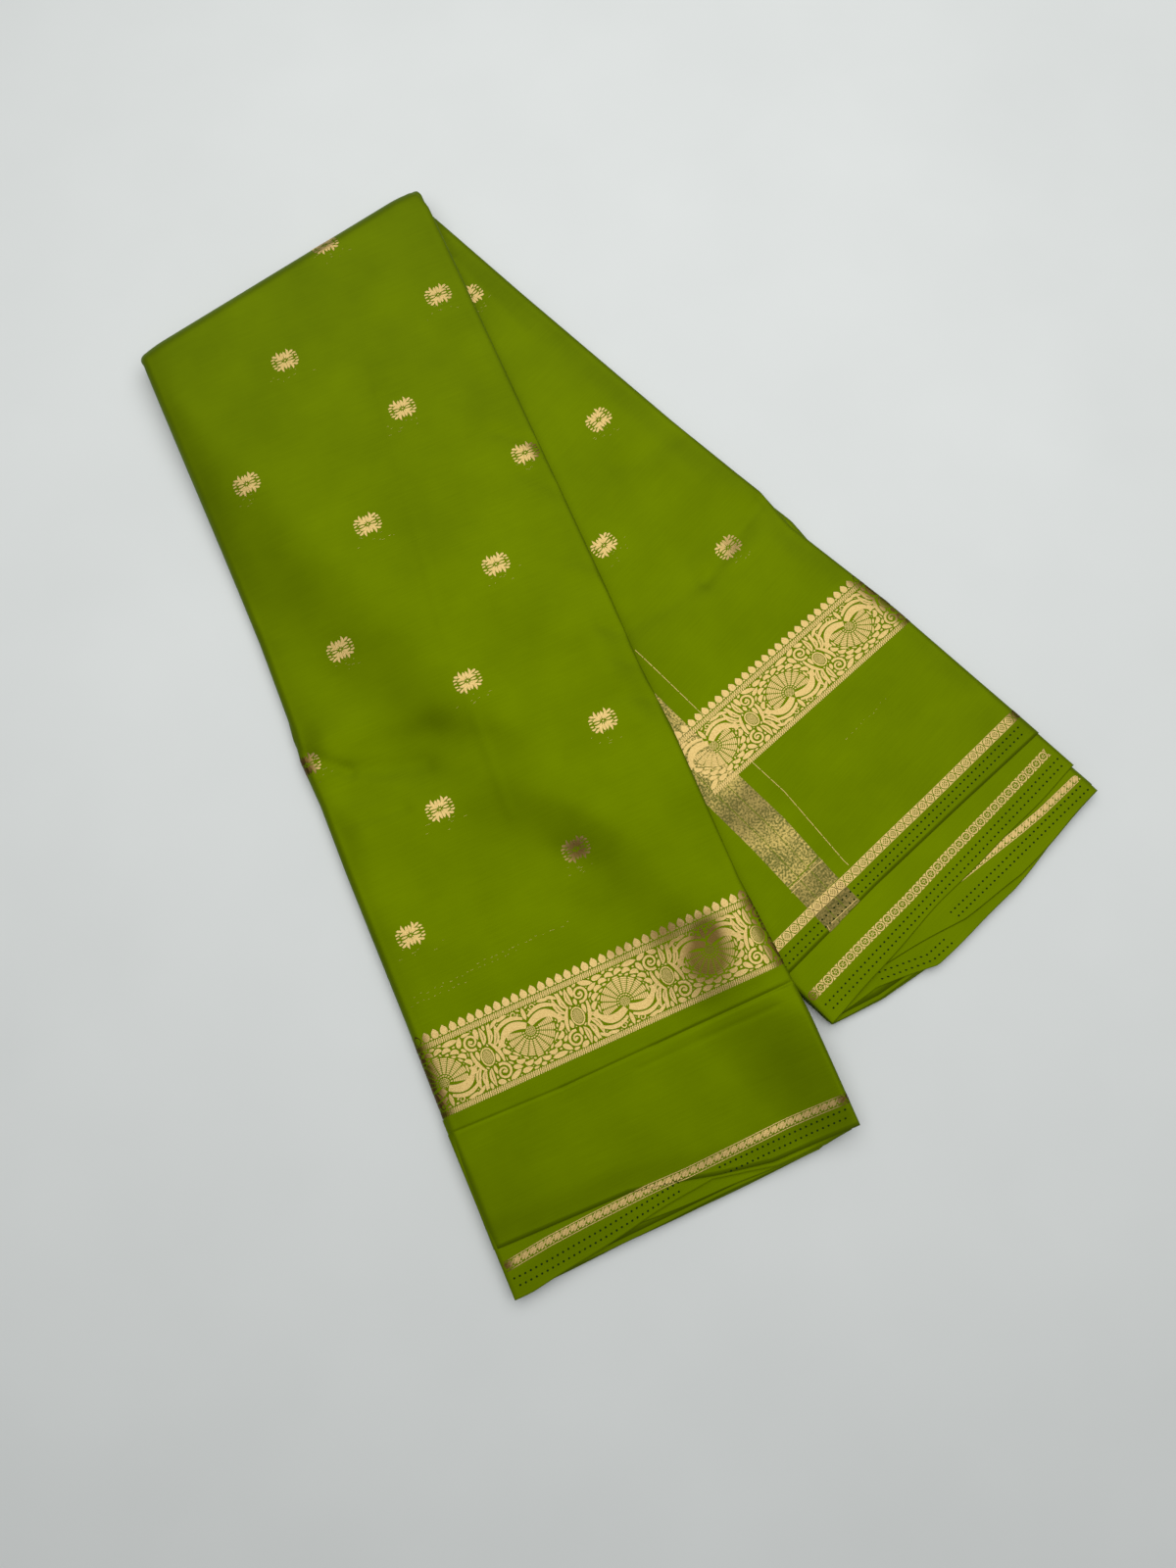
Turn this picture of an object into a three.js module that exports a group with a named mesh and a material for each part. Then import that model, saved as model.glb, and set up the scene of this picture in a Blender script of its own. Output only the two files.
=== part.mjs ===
// A silk saree, folded into a long strip and doubled over, lying on a flat surface.
//
// The cloth is folded lengthwise again and again into a strip one thirty-second of its
// length wide. The strip is then folded across its middle on a slant, so that its two
// halves, here called legs, spread apart like a narrow V. The upper leg lies on the lower
// one near the head of the V and sags to the surface beside it.
//
// Millimetres, +Z up, the surface at Z = 0, the middle of the outline at the origin.
import * as THREE from "three";

const { lerp, clamp, degToRad, mapLinear } = THREE.MathUtils;

// Driving dimensions of the folded strip.
const STRIP_WIDTH = 193; // one of 32 equal folds, less what the folds themselves take up
const LEG_THICKNESS = 9; // 32 plies of soft silk with the air between them
const WALL = 1.0; // a sheet that shows
const GAP = 0.3; // between one sheet and the next
const PLY_STEP = WALL + GAP;

// The two legs turn about the head fold. Angles are from +X, in degrees.
const UPPER_AXIS_DEG = -66.0;
const LOWER_AXIS_DEG = -43.9;
const FOLD_DEG = (UPPER_AXIS_DEG + 180 + LOWER_AXIS_DEG) / 2;
const FOLD_SLOPE = Math.tan(degToRad(FOLD_DEG - UPPER_AXIS_DEG - 90));
const FOLD_COSINE = Math.cos(Math.atan(FOLD_SLOPE));
const FOLD_START = -3.2; // where the turned edge meets the left side, along the leg

// The left end of the head fold, placed so that the outline's middle is the origin.
const FOLD_CORNER = new THREE.Vector2(-273.27, 204.56);

// The head fold turns about an axis between the legs.
const AXIS_HEIGHT = LEG_THICKNESS + GAP;
const UPPER_BASE = AXIS_HEIGHT + GAP;
const FOLD_RADIUS = LEG_THICKNESS + GAP;

// Rounded sides of a leg: one nose on the left, two lobes on the right.
const NOSE_REACH = 5;
const LOBE_REACH = 4;
const LOBE_HEIGHT = LEG_THICKNESS / 4; // half of one lobe
const COVERED_INSET = LOBE_REACH + 0.6; // of a sheet under the top sheet's lobe
const SIDE_FADE = 14; // soft folds fade out over this distance beside them
const SPANS_ACROSS = 12;

// Arcs of the rounded sides in a leg's section, in degrees from its right, and their steps.
const SHEET_LOBE_ARC = { fromDeg: -80, toDeg: 90, steps: 4 };
const SHEET_NOSE_ARC = { fromDeg: 90, toDeg: 255, steps: 5 };
const LOWER_LOBE_ARC = { fromDeg: -60, toDeg: 75, steps: 3 };
const UPPER_LOBE_ARC = { fromDeg: -80, toDeg: 0, steps: 1 };

// The hidden plies' section inside the top sheet.
const NOSE_SHARES = [0.03, 0.2, 0.5, 0.8, 0.93]; // heights on the nose, from top to seat
const LOWER_LOBE_INSET = 0.5;
const UPPER_LOBE_INSET = 0.3;
const TUCKED_REACH = 0.2; // of the upper lobe where the plies step down
const LEAST_LOBE = 0.15; // half height of the upper lobe there
const NECK_BELOW_MIDDLE = GAP + 0.1;
const NECK_BELOW_LOBE = 0.2;
const SEAT_ABOVE_FLOOR = 0.5;
const FOOT_INSETS = [1.5, 2.5]; // the nose's foot slopes in to the floor between these
const HEAD_CLEARANCE = 0.1; // more than a ply step, round the head fold

// The upper leg sags to the surface over this distance beside the lower leg.
const SAG_REACH = 58;

// The hidden plies step down over this stretch, and the separate selvedge sheets start after it.
const STEP_FROM = 452;
const STEP_TO = 464;
const SHEET_FROM = 476;

// Soft folds fade over the first stretch past the head fold, and from here to SHEET_FROM.
const HEAD_FADE = 60;
const END_FADE_FROM = 436;

// A selvedge sheet widens over this stretch past the end of the top sheet, but no nearer than
// this to its own end, and each sheet of the lower leg lies in a little more than the last.
const WIDEN_FROM = 0.2;
const WIDEN_TO = 1.4;
const SHORT_OF_END = 3;
const FREE_INSET = 1;
const FREE_INSET_STEP = 1.5;

// Angles of the rings round the head fold, from straight up.
const UPPER_TURNS = [86, 64, 42, 20];
const HEAD_TURNS = [89.5, 107, 124, 141, 157];
const LOWER_TURNS = [96, 124, 152, 176];

// Rings turn from the slant of the head fold to square across the leg over this distance.
const SQUARE_WITHIN = 180;

// Outlines: distance along the leg, then where the left and right sides lie across it.
const UPPER_SIDES = [
  { along: -38, left: 1, right: 190 },
  { along: -22, left: 1, right: 193.5 },
  { along: 20, left: 0.8, right: 193.5 },
  { along: 190, left: 0.8, right: 192.8 },
  { along: 246, left: -1, right: 192.5 },
  { along: 262, left: -3, right: 192 },
  { along: 290, left: -2, right: 191 },
  { along: 330, left: -3, right: 192.5 },
  { along: 420, left: -3.5, right: 190.5 },
  { along: 500, left: -5, right: 194 },
  { along: 570, left: -6, right: 193.5 },
];
const LOWER_SIDES = [
  { along: 40, left: -1, right: 189 },
  { along: 130, left: -4, right: 189.5 },
  { along: 250, left: -4, right: 191.5 },
  { along: 300, left: -4, right: 193.5 },
  { along: 318, left: -4, right: 194.5 },
  { along: 345, left: -4, right: 190.8 },
  { along: 415, left: -4, right: 195 },
  { along: 560, left: -4, right: 196 },
];

// Ends of the sheets: distance across the leg, then how far the sheet reaches along it.
const UPPER_FACE_END = [
  { across: -5, along: 542 },
  { across: 70, along: 544.5 },
  { across: 90, along: 548.5 },
  { across: 115, along: 555 },
  { across: 145, along: 561 },
  { across: 195, along: 562 },
];
const UPPER_SECOND_END = [
  { across: 5, along: 568 },
  { across: 38, along: 564.5 },
  { across: 85, along: 559 },
  { across: 112, along: 556 },
  { across: 145, along: 563.5 },
  { across: 195, along: 562 },
];
const UPPER_THIRD_END = [
  { across: -5, along: 560 },
  { across: 116, along: 563 },
  { across: 174, along: 565 },
  { across: 195, along: 562.5 },
];
const UPPER_LAST_END = [
  { across: -5, along: 567.5 },
  { across: 170, along: 566 },
  { across: 182, along: 561 },
  { across: 195, along: 558 },
];
const LOWER_FACE_END = [
  { across: -5, along: 515 },
  { across: 68, along: 517.5 },
  { across: 134, along: 522 },
  { across: 198, along: 527 },
];
const LOWER_SECOND_END = [
  { across: -5, along: 549 },
  { across: 87, along: 549.5 },
  { across: 198, along: 553 },
];
const LOWER_THIRD_END = [
  { across: 0, along: 546 },
  { across: 39, along: 549.5 },
  { across: 89, along: 565 },
  { across: 128, along: 571 },
  { across: 198, along: 572 },
];
const LOWER_FOURTH_END = [
  { across: 0, along: 549 },
  { across: 28, along: 555 },
  { across: 60, along: 571 },
  { across: 120, along: 573.5 },
  { across: 198, along: 571 },
];
const LOWER_LAST_END = [
  { across: -5, along: 550 },
  { across: 26, along: 561 },
  { across: 62, along: 569 },
  { across: 120, along: 572.5 },
  { across: 198, along: 570.5 },
];

// The largest soft folds: a ridge or trough runs from one place to another on the leg.
const UPPER_FOLDS = [
  { from: [258, -6], to: [262, 95], halfWidth: 13, rise: 1.2 },
  { from: [285, 0], to: [292, 95], halfWidth: 15, rise: -1.7 },
  { from: [310, -6], to: [316, 70], halfWidth: 13, rise: 1.1 },
  { from: [345, 85], to: [385, 135], halfWidth: 22, rise: -1.6 },
  { from: [405, 125], to: [440, 160], halfWidth: 20, rise: -1.4 },
  { from: [40, 150], to: [110, 192], halfWidth: 16, rise: -1.1 },
  { from: [190, 120], to: [300, 190], halfWidth: 22, rise: 1.2 },
];
const LOWER_FOLDS = [
  { from: [312, 70], to: [318, 196], halfWidth: 14, rise: -1.5 },
  { from: [350, 90], to: [352, 190], halfWidth: 16, rise: 0.9 },
  { from: [200, 170], to: [275, 168], halfWidth: 16, rise: 0.8 },
];

// Distances along each leg, from the head fold's axis, at which its rings lie. Past the last
// one the rings are straight across, and every sheet shares them so that the sheets nest.
const STATIONS = [
  0, 14, 34, 60, 90, 120, 150, 180, 210, 234, 250, 264, 278, 292, 306, 320, 336, 354, 374, 396, 420,
];
const UPPER_STRAIGHTS = [STEP_FROM, STEP_TO, SHEET_FROM, 496, 516, 534];
const LOWER_STRAIGHTS = [STEP_FROM, STEP_TO, SHEET_FROM, 494, 508];
const LOWER_FREE_STRAIGHTS = [530, 542];

const smoothStep = (low, high, x) => {
  const t = clamp((x - low) / (high - low), 0, 1);
  return t * t * (3 - 2 * t);
};

// Reads a table of rows between its rows, along straight lines.
function lookUp(table, key, value, at) {
  const last = table.at(-1);
  if (at <= table[0][key]) return table[0][value];
  if (at >= last[key]) return last[value];
  const next = table.findIndex((row) => row[key] > at);
  const [a, b] = [table[next - 1], table[next]];
  return mapLinear(at, a[key], b[key], a[value], b[value]);
}

// A leg: the directions along and across it, its outline and folds. The head fold leans
// back along one leg and forward along the other as it crosses them.
function makeLeg(axisDegrees, sides, folds, straights, lean) {
  const angle = degToRad(axisDegrees);
  return {
    along: new THREE.Vector2(Math.cos(angle), Math.sin(angle)),
    across: new THREE.Vector2(-Math.sin(angle), Math.cos(angle)),
    sides,
    folds,
    straights,
    foldAt: (v) => FOLD_START + FOLD_RADIUS / FOLD_COSINE + lean * FOLD_SLOPE * v,
  };
}

const UPPER = makeLeg(UPPER_AXIS_DEG, UPPER_SIDES, UPPER_FOLDS, UPPER_STRAIGHTS, -1);
const LOWER = makeLeg(LOWER_AXIS_DEG, LOWER_SIDES, LOWER_FOLDS, LOWER_STRAIGHTS, 1);

const inPlan = (leg, u, v) =>
  FOLD_CORNER.clone().addScaledVector(leg.along, u).addScaledVector(leg.across, v);

const onLeg = (leg, point) => {
  const out = point.clone().sub(FOLD_CORNER);
  return { u: out.dot(leg.along), v: out.dot(leg.across) };
};

// Height of the soft folds: each is highest along its line and fades to its sides and ends.
// All of them fade towards the turned head, the plies' ends and the rounded sides.
function reliefAt(leg, u, v) {
  const fromNose = v - lookUp(leg.sides, "along", "left", u) - NOSE_REACH;
  const fromLobe = lookUp(leg.sides, "along", "right", u) - LOBE_REACH - v;
  const headFade = smoothStep(0, HEAD_FADE, u - leg.foldAt(v));
  const endFade = 1 - smoothStep(END_FADE_FROM, SHEET_FROM, u);
  const sideFade = smoothStep(0, SIDE_FADE, fromNose) * smoothStep(0, SIDE_FADE, fromLobe);
  const fade = headFade * endFade * sideFade;
  if (fade === 0) return 0;
  const folds = leg.folds.reduce((sum, fold) => {
    const start = new THREE.Vector2(...fold.from);
    const run = new THREE.Vector2(...fold.to).sub(start);
    const offset = new THREE.Vector2(u, v).sub(start);
    const share = clamp(offset.dot(run) / run.lengthSq(), 0, 1);
    const distance = offset.distanceTo(run.multiplyScalar(share));
    return sum + fold.rise * Math.exp(-((distance / fold.halfWidth) ** 2));
  }, 0);
  return fade * folds;
}

// Underside of a leg: the lower one is flat on the surface, and the upper one lies on it,
// then goes down to the surface beside it.
function baseAt(leg, u, v) {
  if (leg === LOWER) return 0;
  const place = onLeg(LOWER, inPlan(UPPER, u, v));
  const outside = lookUp(LOWER_SIDES, "along", "left", place.u) - place.v;
  const carried = 1 - smoothStep(0, SAG_REACH, outside);
  return carried * UPPER_BASE + Math.max(0, reliefAt(LOWER, place.u, place.v));
}

// A row is one ring's place on the cloth. It turns a point of a section, with its distance
// across the leg and its height above the underside, into a point in space.
function legRow(leg, alongAt) {
  return {
    left: lookUp(leg.sides, "along", "left", alongAt(0)),
    right: lookUp(leg.sides, "along", "right", alongAt(STRIP_WIDTH)),
    place({ v, h, flat }) {
      const u = alongAt(v);
      const spot = inPlan(leg, u, v);
      const relief = flat ? 0 : reliefAt(leg, u, v);
      return new THREE.Vector3(spot.x, spot.y, baseAt(leg, u, v) + h + relief);
    },
  };
}

const stationRow = (leg, station) =>
  legRow(leg, (v) => {
    const squareTo = smoothStep(0, SQUARE_WITHIN, station);
    return station + lerp(leg.foldAt(v), leg.foldAt(STRIP_WIDTH / 2), squareTo);
  });

const straightRow = (leg, along) => legRow(leg, () => along);

const endOf = (endTable) => (v) => lookUp(endTable, "across", "along", v);

// Where a sheet comes out from under the top sheet, or just short of its own end.
const outFrom = (coverTable, endTable) => (v) =>
  Math.min(endOf(coverTable)(v), endOf(endTable)(v) - SHORT_OF_END);

// A row of the head fold: the section turned about the fold's axis by an angle.
const FOLD_OUTWARD = new THREE.Vector2(
  Math.cos(degToRad(FOLD_DEG + 90)),
  Math.sin(degToRad(FOLD_DEG + 90)),
);

function turnedRow(degrees, reachOf) {
  const turn = degToRad(degrees);
  return {
    left: UPPER_SIDES[0].left,
    right: UPPER_SIDES[0].right,
    place({ v, h }) {
      const reach = reachOf(h);
      const spot = inPlan(UPPER, UPPER.foldAt(v), v);
      spot.addScaledVector(FOLD_OUTWARD, reach * Math.sin(turn));
      return new THREE.Vector3(spot.x, spot.y, AXIS_HEIGHT + reach * Math.cos(turn));
    },
  };
}

const outerReach = (h) => h + GAP; // heights of the upper leg, from the axis outwards
const innerReach = (h) => AXIS_HEIGHT - h; // heights of the lower leg, the other way up

// Points of an ellipse's arc in a leg's section, from one angle to another.
function arc(centre, reachV, reachH, { fromDeg, toDeg, steps }) {
  return Array.from({ length: steps + 1 }, (_, i) => {
    const angle = degToRad(lerp(fromDeg, toDeg, i / steps));
    return {
      v: centre.v + reachV * Math.cos(angle),
      h: centre.h + reachH * Math.sin(angle),
    };
  });
}

// Inner points of a level line across a section, from right to left. Every piece has them
// at the same places, so that neighbours bend alike and stay apart.
const acrossPoints = (row, h) =>
  Array.from({ length: SPANS_ACROSS - 1 }, (_, i) => ({
    v: lerp(row.right - LOBE_REACH, row.left + NOSE_REACH, (i + 1) / SPANS_ACROSS),
    h,
    inner: true,
  }));

// The top sheet's line at a depth under its surface: lobe, top, then nose.
function sheetLine(row, depth) {
  const lobe = { v: row.right - LOBE_REACH, h: LEG_THICKNESS - LOBE_HEIGHT };
  const nose = { v: row.left + NOSE_REACH, h: LEG_THICKNESS / 2 };
  return [
    ...arc(lobe, LOBE_REACH - depth, LOBE_HEIGHT - depth, SHEET_LOBE_ARC),
    ...acrossPoints(row, LEG_THICKNESS - depth),
    ...arc(nose, NOSE_REACH - depth, LEG_THICKNESS / 2 - depth, SHEET_NOSE_ARC),
  ];
}

const faceSection = (row) => [...sheetLine(row, 0), ...sheetLine(row, WALL).reverse()];

// Section of the hidden plies: they fill the top sheet and make the right side's lower lobe.
// Where they step down under the selvedge sheets, their upper lobe is tucked in.
function layersSection(row) {
  const { cover, floor, tucked } = row;
  const top = LEG_THICKNESS - cover;
  const upperLobe = Math.max(LOBE_HEIGHT - cover, LEAST_LOBE);
  const neckUnderLobe = top - 2 * upperLobe - NECK_BELOW_LOBE;
  const neck = Math.min(LEG_THICKNESS / 2 - NECK_BELOW_MIDDLE, neckUnderLobe);
  const lowerLobe = (neck - floor) / 2;
  const reach = tucked ? TUCKED_REACH : LOBE_REACH - PLY_STEP;
  const seat = Math.max(PLY_STEP, floor + SEAT_ABOVE_FLOOR);
  const fromV = row.right - LOBE_REACH;
  const toV = row.left + NOSE_REACH;
  const noseAt = (h) => {
    const fromMiddle = (h - LEG_THICKNESS / 2) / (LEG_THICKNESS / 2 - PLY_STEP);
    const reachHere = (NOSE_REACH - PLY_STEP) * Math.sqrt(Math.max(0, 1 - fromMiddle ** 2));
    return { v: toV - reachHere, h };
  };
  const lowerMiddle = { v: fromV - LOWER_LOBE_INSET, h: floor + lowerLobe };
  const upperMiddle = { v: fromV - UPPER_LOBE_INSET, h: top - upperLobe };
  const noseHeights = NOSE_SHARES.map((share) => lerp(top, seat, share));
  const onFloor = (p) => ({ ...p, flat: true });
  return [
    ...arc(lowerMiddle, LOBE_REACH, lowerLobe, LOWER_LOBE_ARC),
    ...arc(upperMiddle, reach, upperLobe, UPPER_LOBE_ARC),
    { v: fromV, h: top },
    ...acrossPoints(row, top),
    { v: toV, h: top },
    ...noseHeights.map(noseAt),
    onFloor({ v: toV + FOOT_INSETS[0], h: seat }),
    onFloor({ v: toV + FOOT_INSETS[1], h: floor }),
    ...acrossPoints(row, floor).reverse().map(onFloor),
    onFloor({ v: fromV, h: floor }),
  ];
}

// Triangles that fill a section, in its own order. The section is cut across at each pair of
// inner points, so that no triangle spans more of a bent end than its neighbours do.
function fillSection(section) {
  const innerPoints = section.flatMap((p, i) => (p.inner ? [i] : []));
  const count = innerPoints.length / 2;
  const above = innerPoints.slice(0, count);
  const under = innerPoints.slice(count).reverse();
  const run = (from, to) => Array.from({ length: to - from + 1 }, (_, i) => from + i);
  const polygons = [
    [...run(under[0], section.length - 1), ...run(0, above[0])],
    ...above.slice(1).map((a, k) => [above[k], a, under[k + 1], under[k]]),
    run(above[count - 1], under[count - 1]),
  ];
  const flat = (i) => new THREE.Vector2(section[i].v, section[i].h);
  const turned = THREE.ShapeUtils.isClockWise(section.map((_, i) => flat(i)));
  return polygons.flatMap((polygon) =>
    THREE.ShapeUtils.triangulateShape(polygon.map(flat), []).map((triangle) => {
      const [a, b, c] = triangle.map((k) => polygon[k]);
      return THREE.ShapeUtils.isClockWise([a, b, c].map(flat)) === turned ? [a, b, c] : [a, c, b];
    }),
  );
}

// A closed solid from a row of closed rings, with a cap on the first and the last. Each cell
// is halved from its right side to its left, above and below, so that neighbours nest.
function sweep(rows, sectionOf) {
  const sections = rows.map(sectionOf);
  const rings = rows.map((row, r) => sections[r].map((point) => row.place(point)));
  const count = sections[0].length;
  const faces = [];
  for (let r = 0; r + 1 < rings.length; r++) {
    for (let i = 0; i < count; i++) {
      const next = (i + 1) % count;
      const [a, b] = [r * count + i, r * count + next];
      if (sections[r][next].v < sections[r][i].v) {
        faces.push([a, b, b + count], [a, b + count, a + count]);
      } else faces.push([a, b, a + count], [b, b + count, a + count]);
    }
  }
  const last = (rings.length - 1) * count;
  faces.push(...fillSection(sections[0]).map(([a, b, c]) => [a, c, b]));
  faces.push(...fillSection(sections.at(-1)).map((corners) => corners.map((k) => last + k)));
  return closedGeometry(rings.flat(), faces);
}

// Geometry whose faces point out: the sign of its volume says whether to turn them round.
function closedGeometry(points, faces) {
  const volume = faces.reduce(
    (sum, [a, b, c]) => sum + points[a].dot(points[b].clone().cross(points[c])),
    0,
  );
  const outward = volume > 0 ? faces : faces.map(([a, b, c]) => [a, c, b]);
  const geometry = new THREE.BufferGeometry().setFromPoints(points);
  geometry.setIndex(outward.flat());
  geometry.computeVertexNormals();
  return geometry;
}

// Rows of a leg's top sheet, from the first station to its selvedge.
const faceRows = (leg, stations, endTable) => [
  ...stations.map((station) => stationRow(leg, station)),
  ...leg.straights.map((along) => straightRow(leg, along)),
  legRow(leg, endOf(endTable)),
];

// Top sheet of the upper leg, from the middle of the head fold to its selvedge.
const upperFace = () =>
  sweep(
    [
      ...UPPER_TURNS.map((turn) => turnedRow(turn, outerReach)),
      ...faceRows(UPPER, STATIONS, UPPER_FACE_END),
    ],
    faceSection,
  );

// Top sheet of the lower leg, from just short of the head fold to its selvedge.
const lowerFace = () => sweep(faceRows(LOWER, STATIONS.slice(1), LOWER_FACE_END), faceSection);

// The same sheet round the lower half of the head fold, down to the surface.
function headFold() {
  const line = (row, h) => [
    { v: row.right - LOBE_REACH, h },
    ...acrossPoints(row, h),
    { v: row.left + NOSE_REACH, h },
  ];
  return sweep(
    HEAD_TURNS.map((turn) => turnedRow(turn, outerReach)),
    (row) => [...line(row, LEG_THICKNESS), ...line(row, LEG_THICKNESS - WALL).reverse()],
  );
}

// Hidden plies of a leg. They step down under the sheets whose selvedges show.
function layers(leg, turned, sheets, coverTable, freeStraights, endTable) {
  const plain = (row) => ({ ...row, cover: PLY_STEP, floor: 0 });
  const tucked = (row) => ({ ...plain(row), tucked: true });
  const stepped = (row) => ({ ...tucked(row), cover: PLY_STEP * (1 + sheets) });
  const rows = [
    ...turned,
    ...STATIONS.map((station) => plain(stationRow(leg, station))),
    tucked(straightRow(leg, STEP_FROM)),
    ...leg.straights
      .filter((along) => along >= STEP_TO)
      .map((along) => stepped(straightRow(leg, along))),
    stepped(legRow(leg, outFrom(coverTable, endTable))),
    ...freeStraights.map((along) => stepped(straightRow(leg, along))),
    stepped(legRow(leg, endOf(endTable))),
  ];
  return sweep(rows, layersSection);
}

const upperLayers = () => {
  const turned = UPPER_TURNS.map((turn) => ({
    ...turnedRow(turn, outerReach),
    cover: PLY_STEP,
    floor: 0,
  }));
  return layers(UPPER, turned, 2, UPPER_FACE_END, [], UPPER_LAST_END);
};

// Round the head fold the lower leg's plies keep clear of the sheet outside them.
const lowerLayers = () => {
  const turned = LOWER_TURNS.map((turn) => ({
    ...turnedRow(turn, innerReach),
    cover: PLY_STEP,
    floor: PLY_STEP + HEAD_CLEARANCE,
  }));
  return layers(LOWER, turned, 3, LOWER_FACE_END, LOWER_FREE_STRAIGHTS, LOWER_LAST_END);
};

// A selvedge sheet under the top one. It widens once it is out from under that sheet, by its
// own inset from the leg's right side.
function selvedgeSheet(leg, level, coverTable, freeStraights, endTable, freeRight) {
  const top = LEG_THICKNESS - level * PLY_STEP;
  const outAt = outFrom(coverTable, endTable);
  const covered = (alongAt) => ({
    ...legRow(leg, alongAt),
    insetRight: COVERED_INSET,
    insetLeft: NOSE_REACH,
  });
  const free = (alongAt) => ({
    ...legRow(leg, alongAt),
    insetRight: freeRight,
    insetLeft: FREE_INSET,
  });
  const rows = [
    ...leg.straights
      .filter((along) => along >= SHEET_FROM)
      .map((along) => covered(() => along)),
    covered((v) => outAt(v) + WIDEN_FROM),
    free((v) => outAt(v) + WIDEN_TO),
    ...freeStraights.map((along) => free(() => along)),
    free(endOf(endTable)),
  ];
  const line = (row, h) => [
    { v: row.right - row.insetRight, h },
    ...acrossPoints(row, h),
    { v: row.left + row.insetLeft, h },
  ];
  return sweep(rows, (row) => [...line(row, top), ...line(row, top - WALL).reverse()]);
}

// Woven silk with a satin face, in parrot green.
function silk(name, colour) {
  const material = new THREE.MeshStandardMaterial({ color: colour, roughness: 0.42 });
  material.name = name;
  return material;
}

const saree = new THREE.Group();
function add(name, geometry, material) {
  const mesh = new THREE.Mesh(geometry, material);
  mesh.name = name;
  saree.add(mesh);
}

const face = silk("silk face", 0x6b8400);
const plies = silk("hidden plies", 0x5a7200);
const selvedge = silk("selvedge sheet", 0x637c00);

add("upper_leg_face", upperFace(), face);
add("head_fold", headFold(), face);
add("upper_leg_layers", upperLayers(), plies);
for (const [k, endTable] of [UPPER_SECOND_END, UPPER_THIRD_END].entries()) {
  const sheet = selvedgeSheet(UPPER, k + 1, UPPER_FACE_END, [], endTable, COVERED_INSET);
  add(`upper_selvedge_${k + 2}`, sheet, selvedge);
}
add("lower_leg_face", lowerFace(), face);
add("lower_leg_layers", lowerLayers(), plies);
for (const [k, endTable] of [LOWER_SECOND_END, LOWER_THIRD_END, LOWER_FOURTH_END].entries()) {
  const freeRight = FREE_INSET + FREE_INSET_STEP * k;
  const sheet = selvedgeSheet(
    LOWER,
    k + 1,
    LOWER_FACE_END,
    LOWER_FREE_STRAIGHTS,
    endTable,
    freeRight,
  );
  add(`lower_selvedge_${k + 2}`, sheet, selvedge);
}

export default saree;
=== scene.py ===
# %% [markdown]
# # A folded silk saree
# A saree is one uncut length of cloth, here about 6.30 m by 1.12 m of parrot green silk with
# woven gold. It was folded along its length five times to a strip of 32 plies, and the strip
# was doubled over on a slant, so its two halves, called legs here, spread like a narrow V.
# The solid model gives every leg its place. This lesson dresses it: thin sheets on the same
# curves, ply edges, woven gold, and the soft light of a product photograph.

import bmesh
import bpy
import numpy as np
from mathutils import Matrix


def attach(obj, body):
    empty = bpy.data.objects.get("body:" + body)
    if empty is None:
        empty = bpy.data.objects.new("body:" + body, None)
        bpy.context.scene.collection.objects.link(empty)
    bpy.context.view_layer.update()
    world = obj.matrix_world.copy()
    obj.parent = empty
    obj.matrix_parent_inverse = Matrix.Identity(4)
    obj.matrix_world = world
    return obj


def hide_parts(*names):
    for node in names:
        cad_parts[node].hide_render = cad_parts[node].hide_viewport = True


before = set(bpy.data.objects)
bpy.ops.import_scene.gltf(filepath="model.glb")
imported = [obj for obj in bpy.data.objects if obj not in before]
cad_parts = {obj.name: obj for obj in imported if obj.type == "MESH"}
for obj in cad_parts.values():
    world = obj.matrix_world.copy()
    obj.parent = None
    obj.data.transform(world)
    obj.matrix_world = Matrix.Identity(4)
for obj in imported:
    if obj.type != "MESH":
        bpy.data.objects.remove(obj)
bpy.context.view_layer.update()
print("solid nodes:", sorted(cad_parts))

# %% [markdown]
# ## Camera
# The photograph looks almost straight down, tipped 11 degrees, from 0.65 m. The focal length
# comes from the same fit, given in pixels of a 1200 by 1600 picture, and Blender's sensor
# width belongs to the long side.

# %% Camera
PHOTO_LONG_SIDE_PX = 1600
FOCAL_PX = 1202
SENSOR_MM = 36
CAMERA_PLACE = (-0.00934, -0.1731, 0.6462)
CAMERA_TIP_DEG = 11

lens = bpy.data.cameras.new("camera")
lens.sensor_width = SENSOR_MM
lens.lens = SENSOR_MM * FOCAL_PX / PHOTO_LONG_SIDE_PX
lens.clip_start = 0.01
camera = bpy.data.objects.new("camera", lens)
camera.location = CAMERA_PLACE
camera.rotation_euler = (np.radians(CAMERA_TIP_DEG), 0, 0)
bpy.context.scene.collection.objects.link(camera)
bpy.context.scene.camera = camera
bpy.context.scene.view_settings.view_transform = "Standard"
print("lens", round(lens.lens, 2), "mm")

# %% [markdown]
# ## The strip's measurements
# Cloth folded this often is best described by where it lies: distance along a leg, distance
# across it, and height above its underside, in millimetres. These are the solid model's own
# values, so that every thin sheet lands where the solid says.

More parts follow.
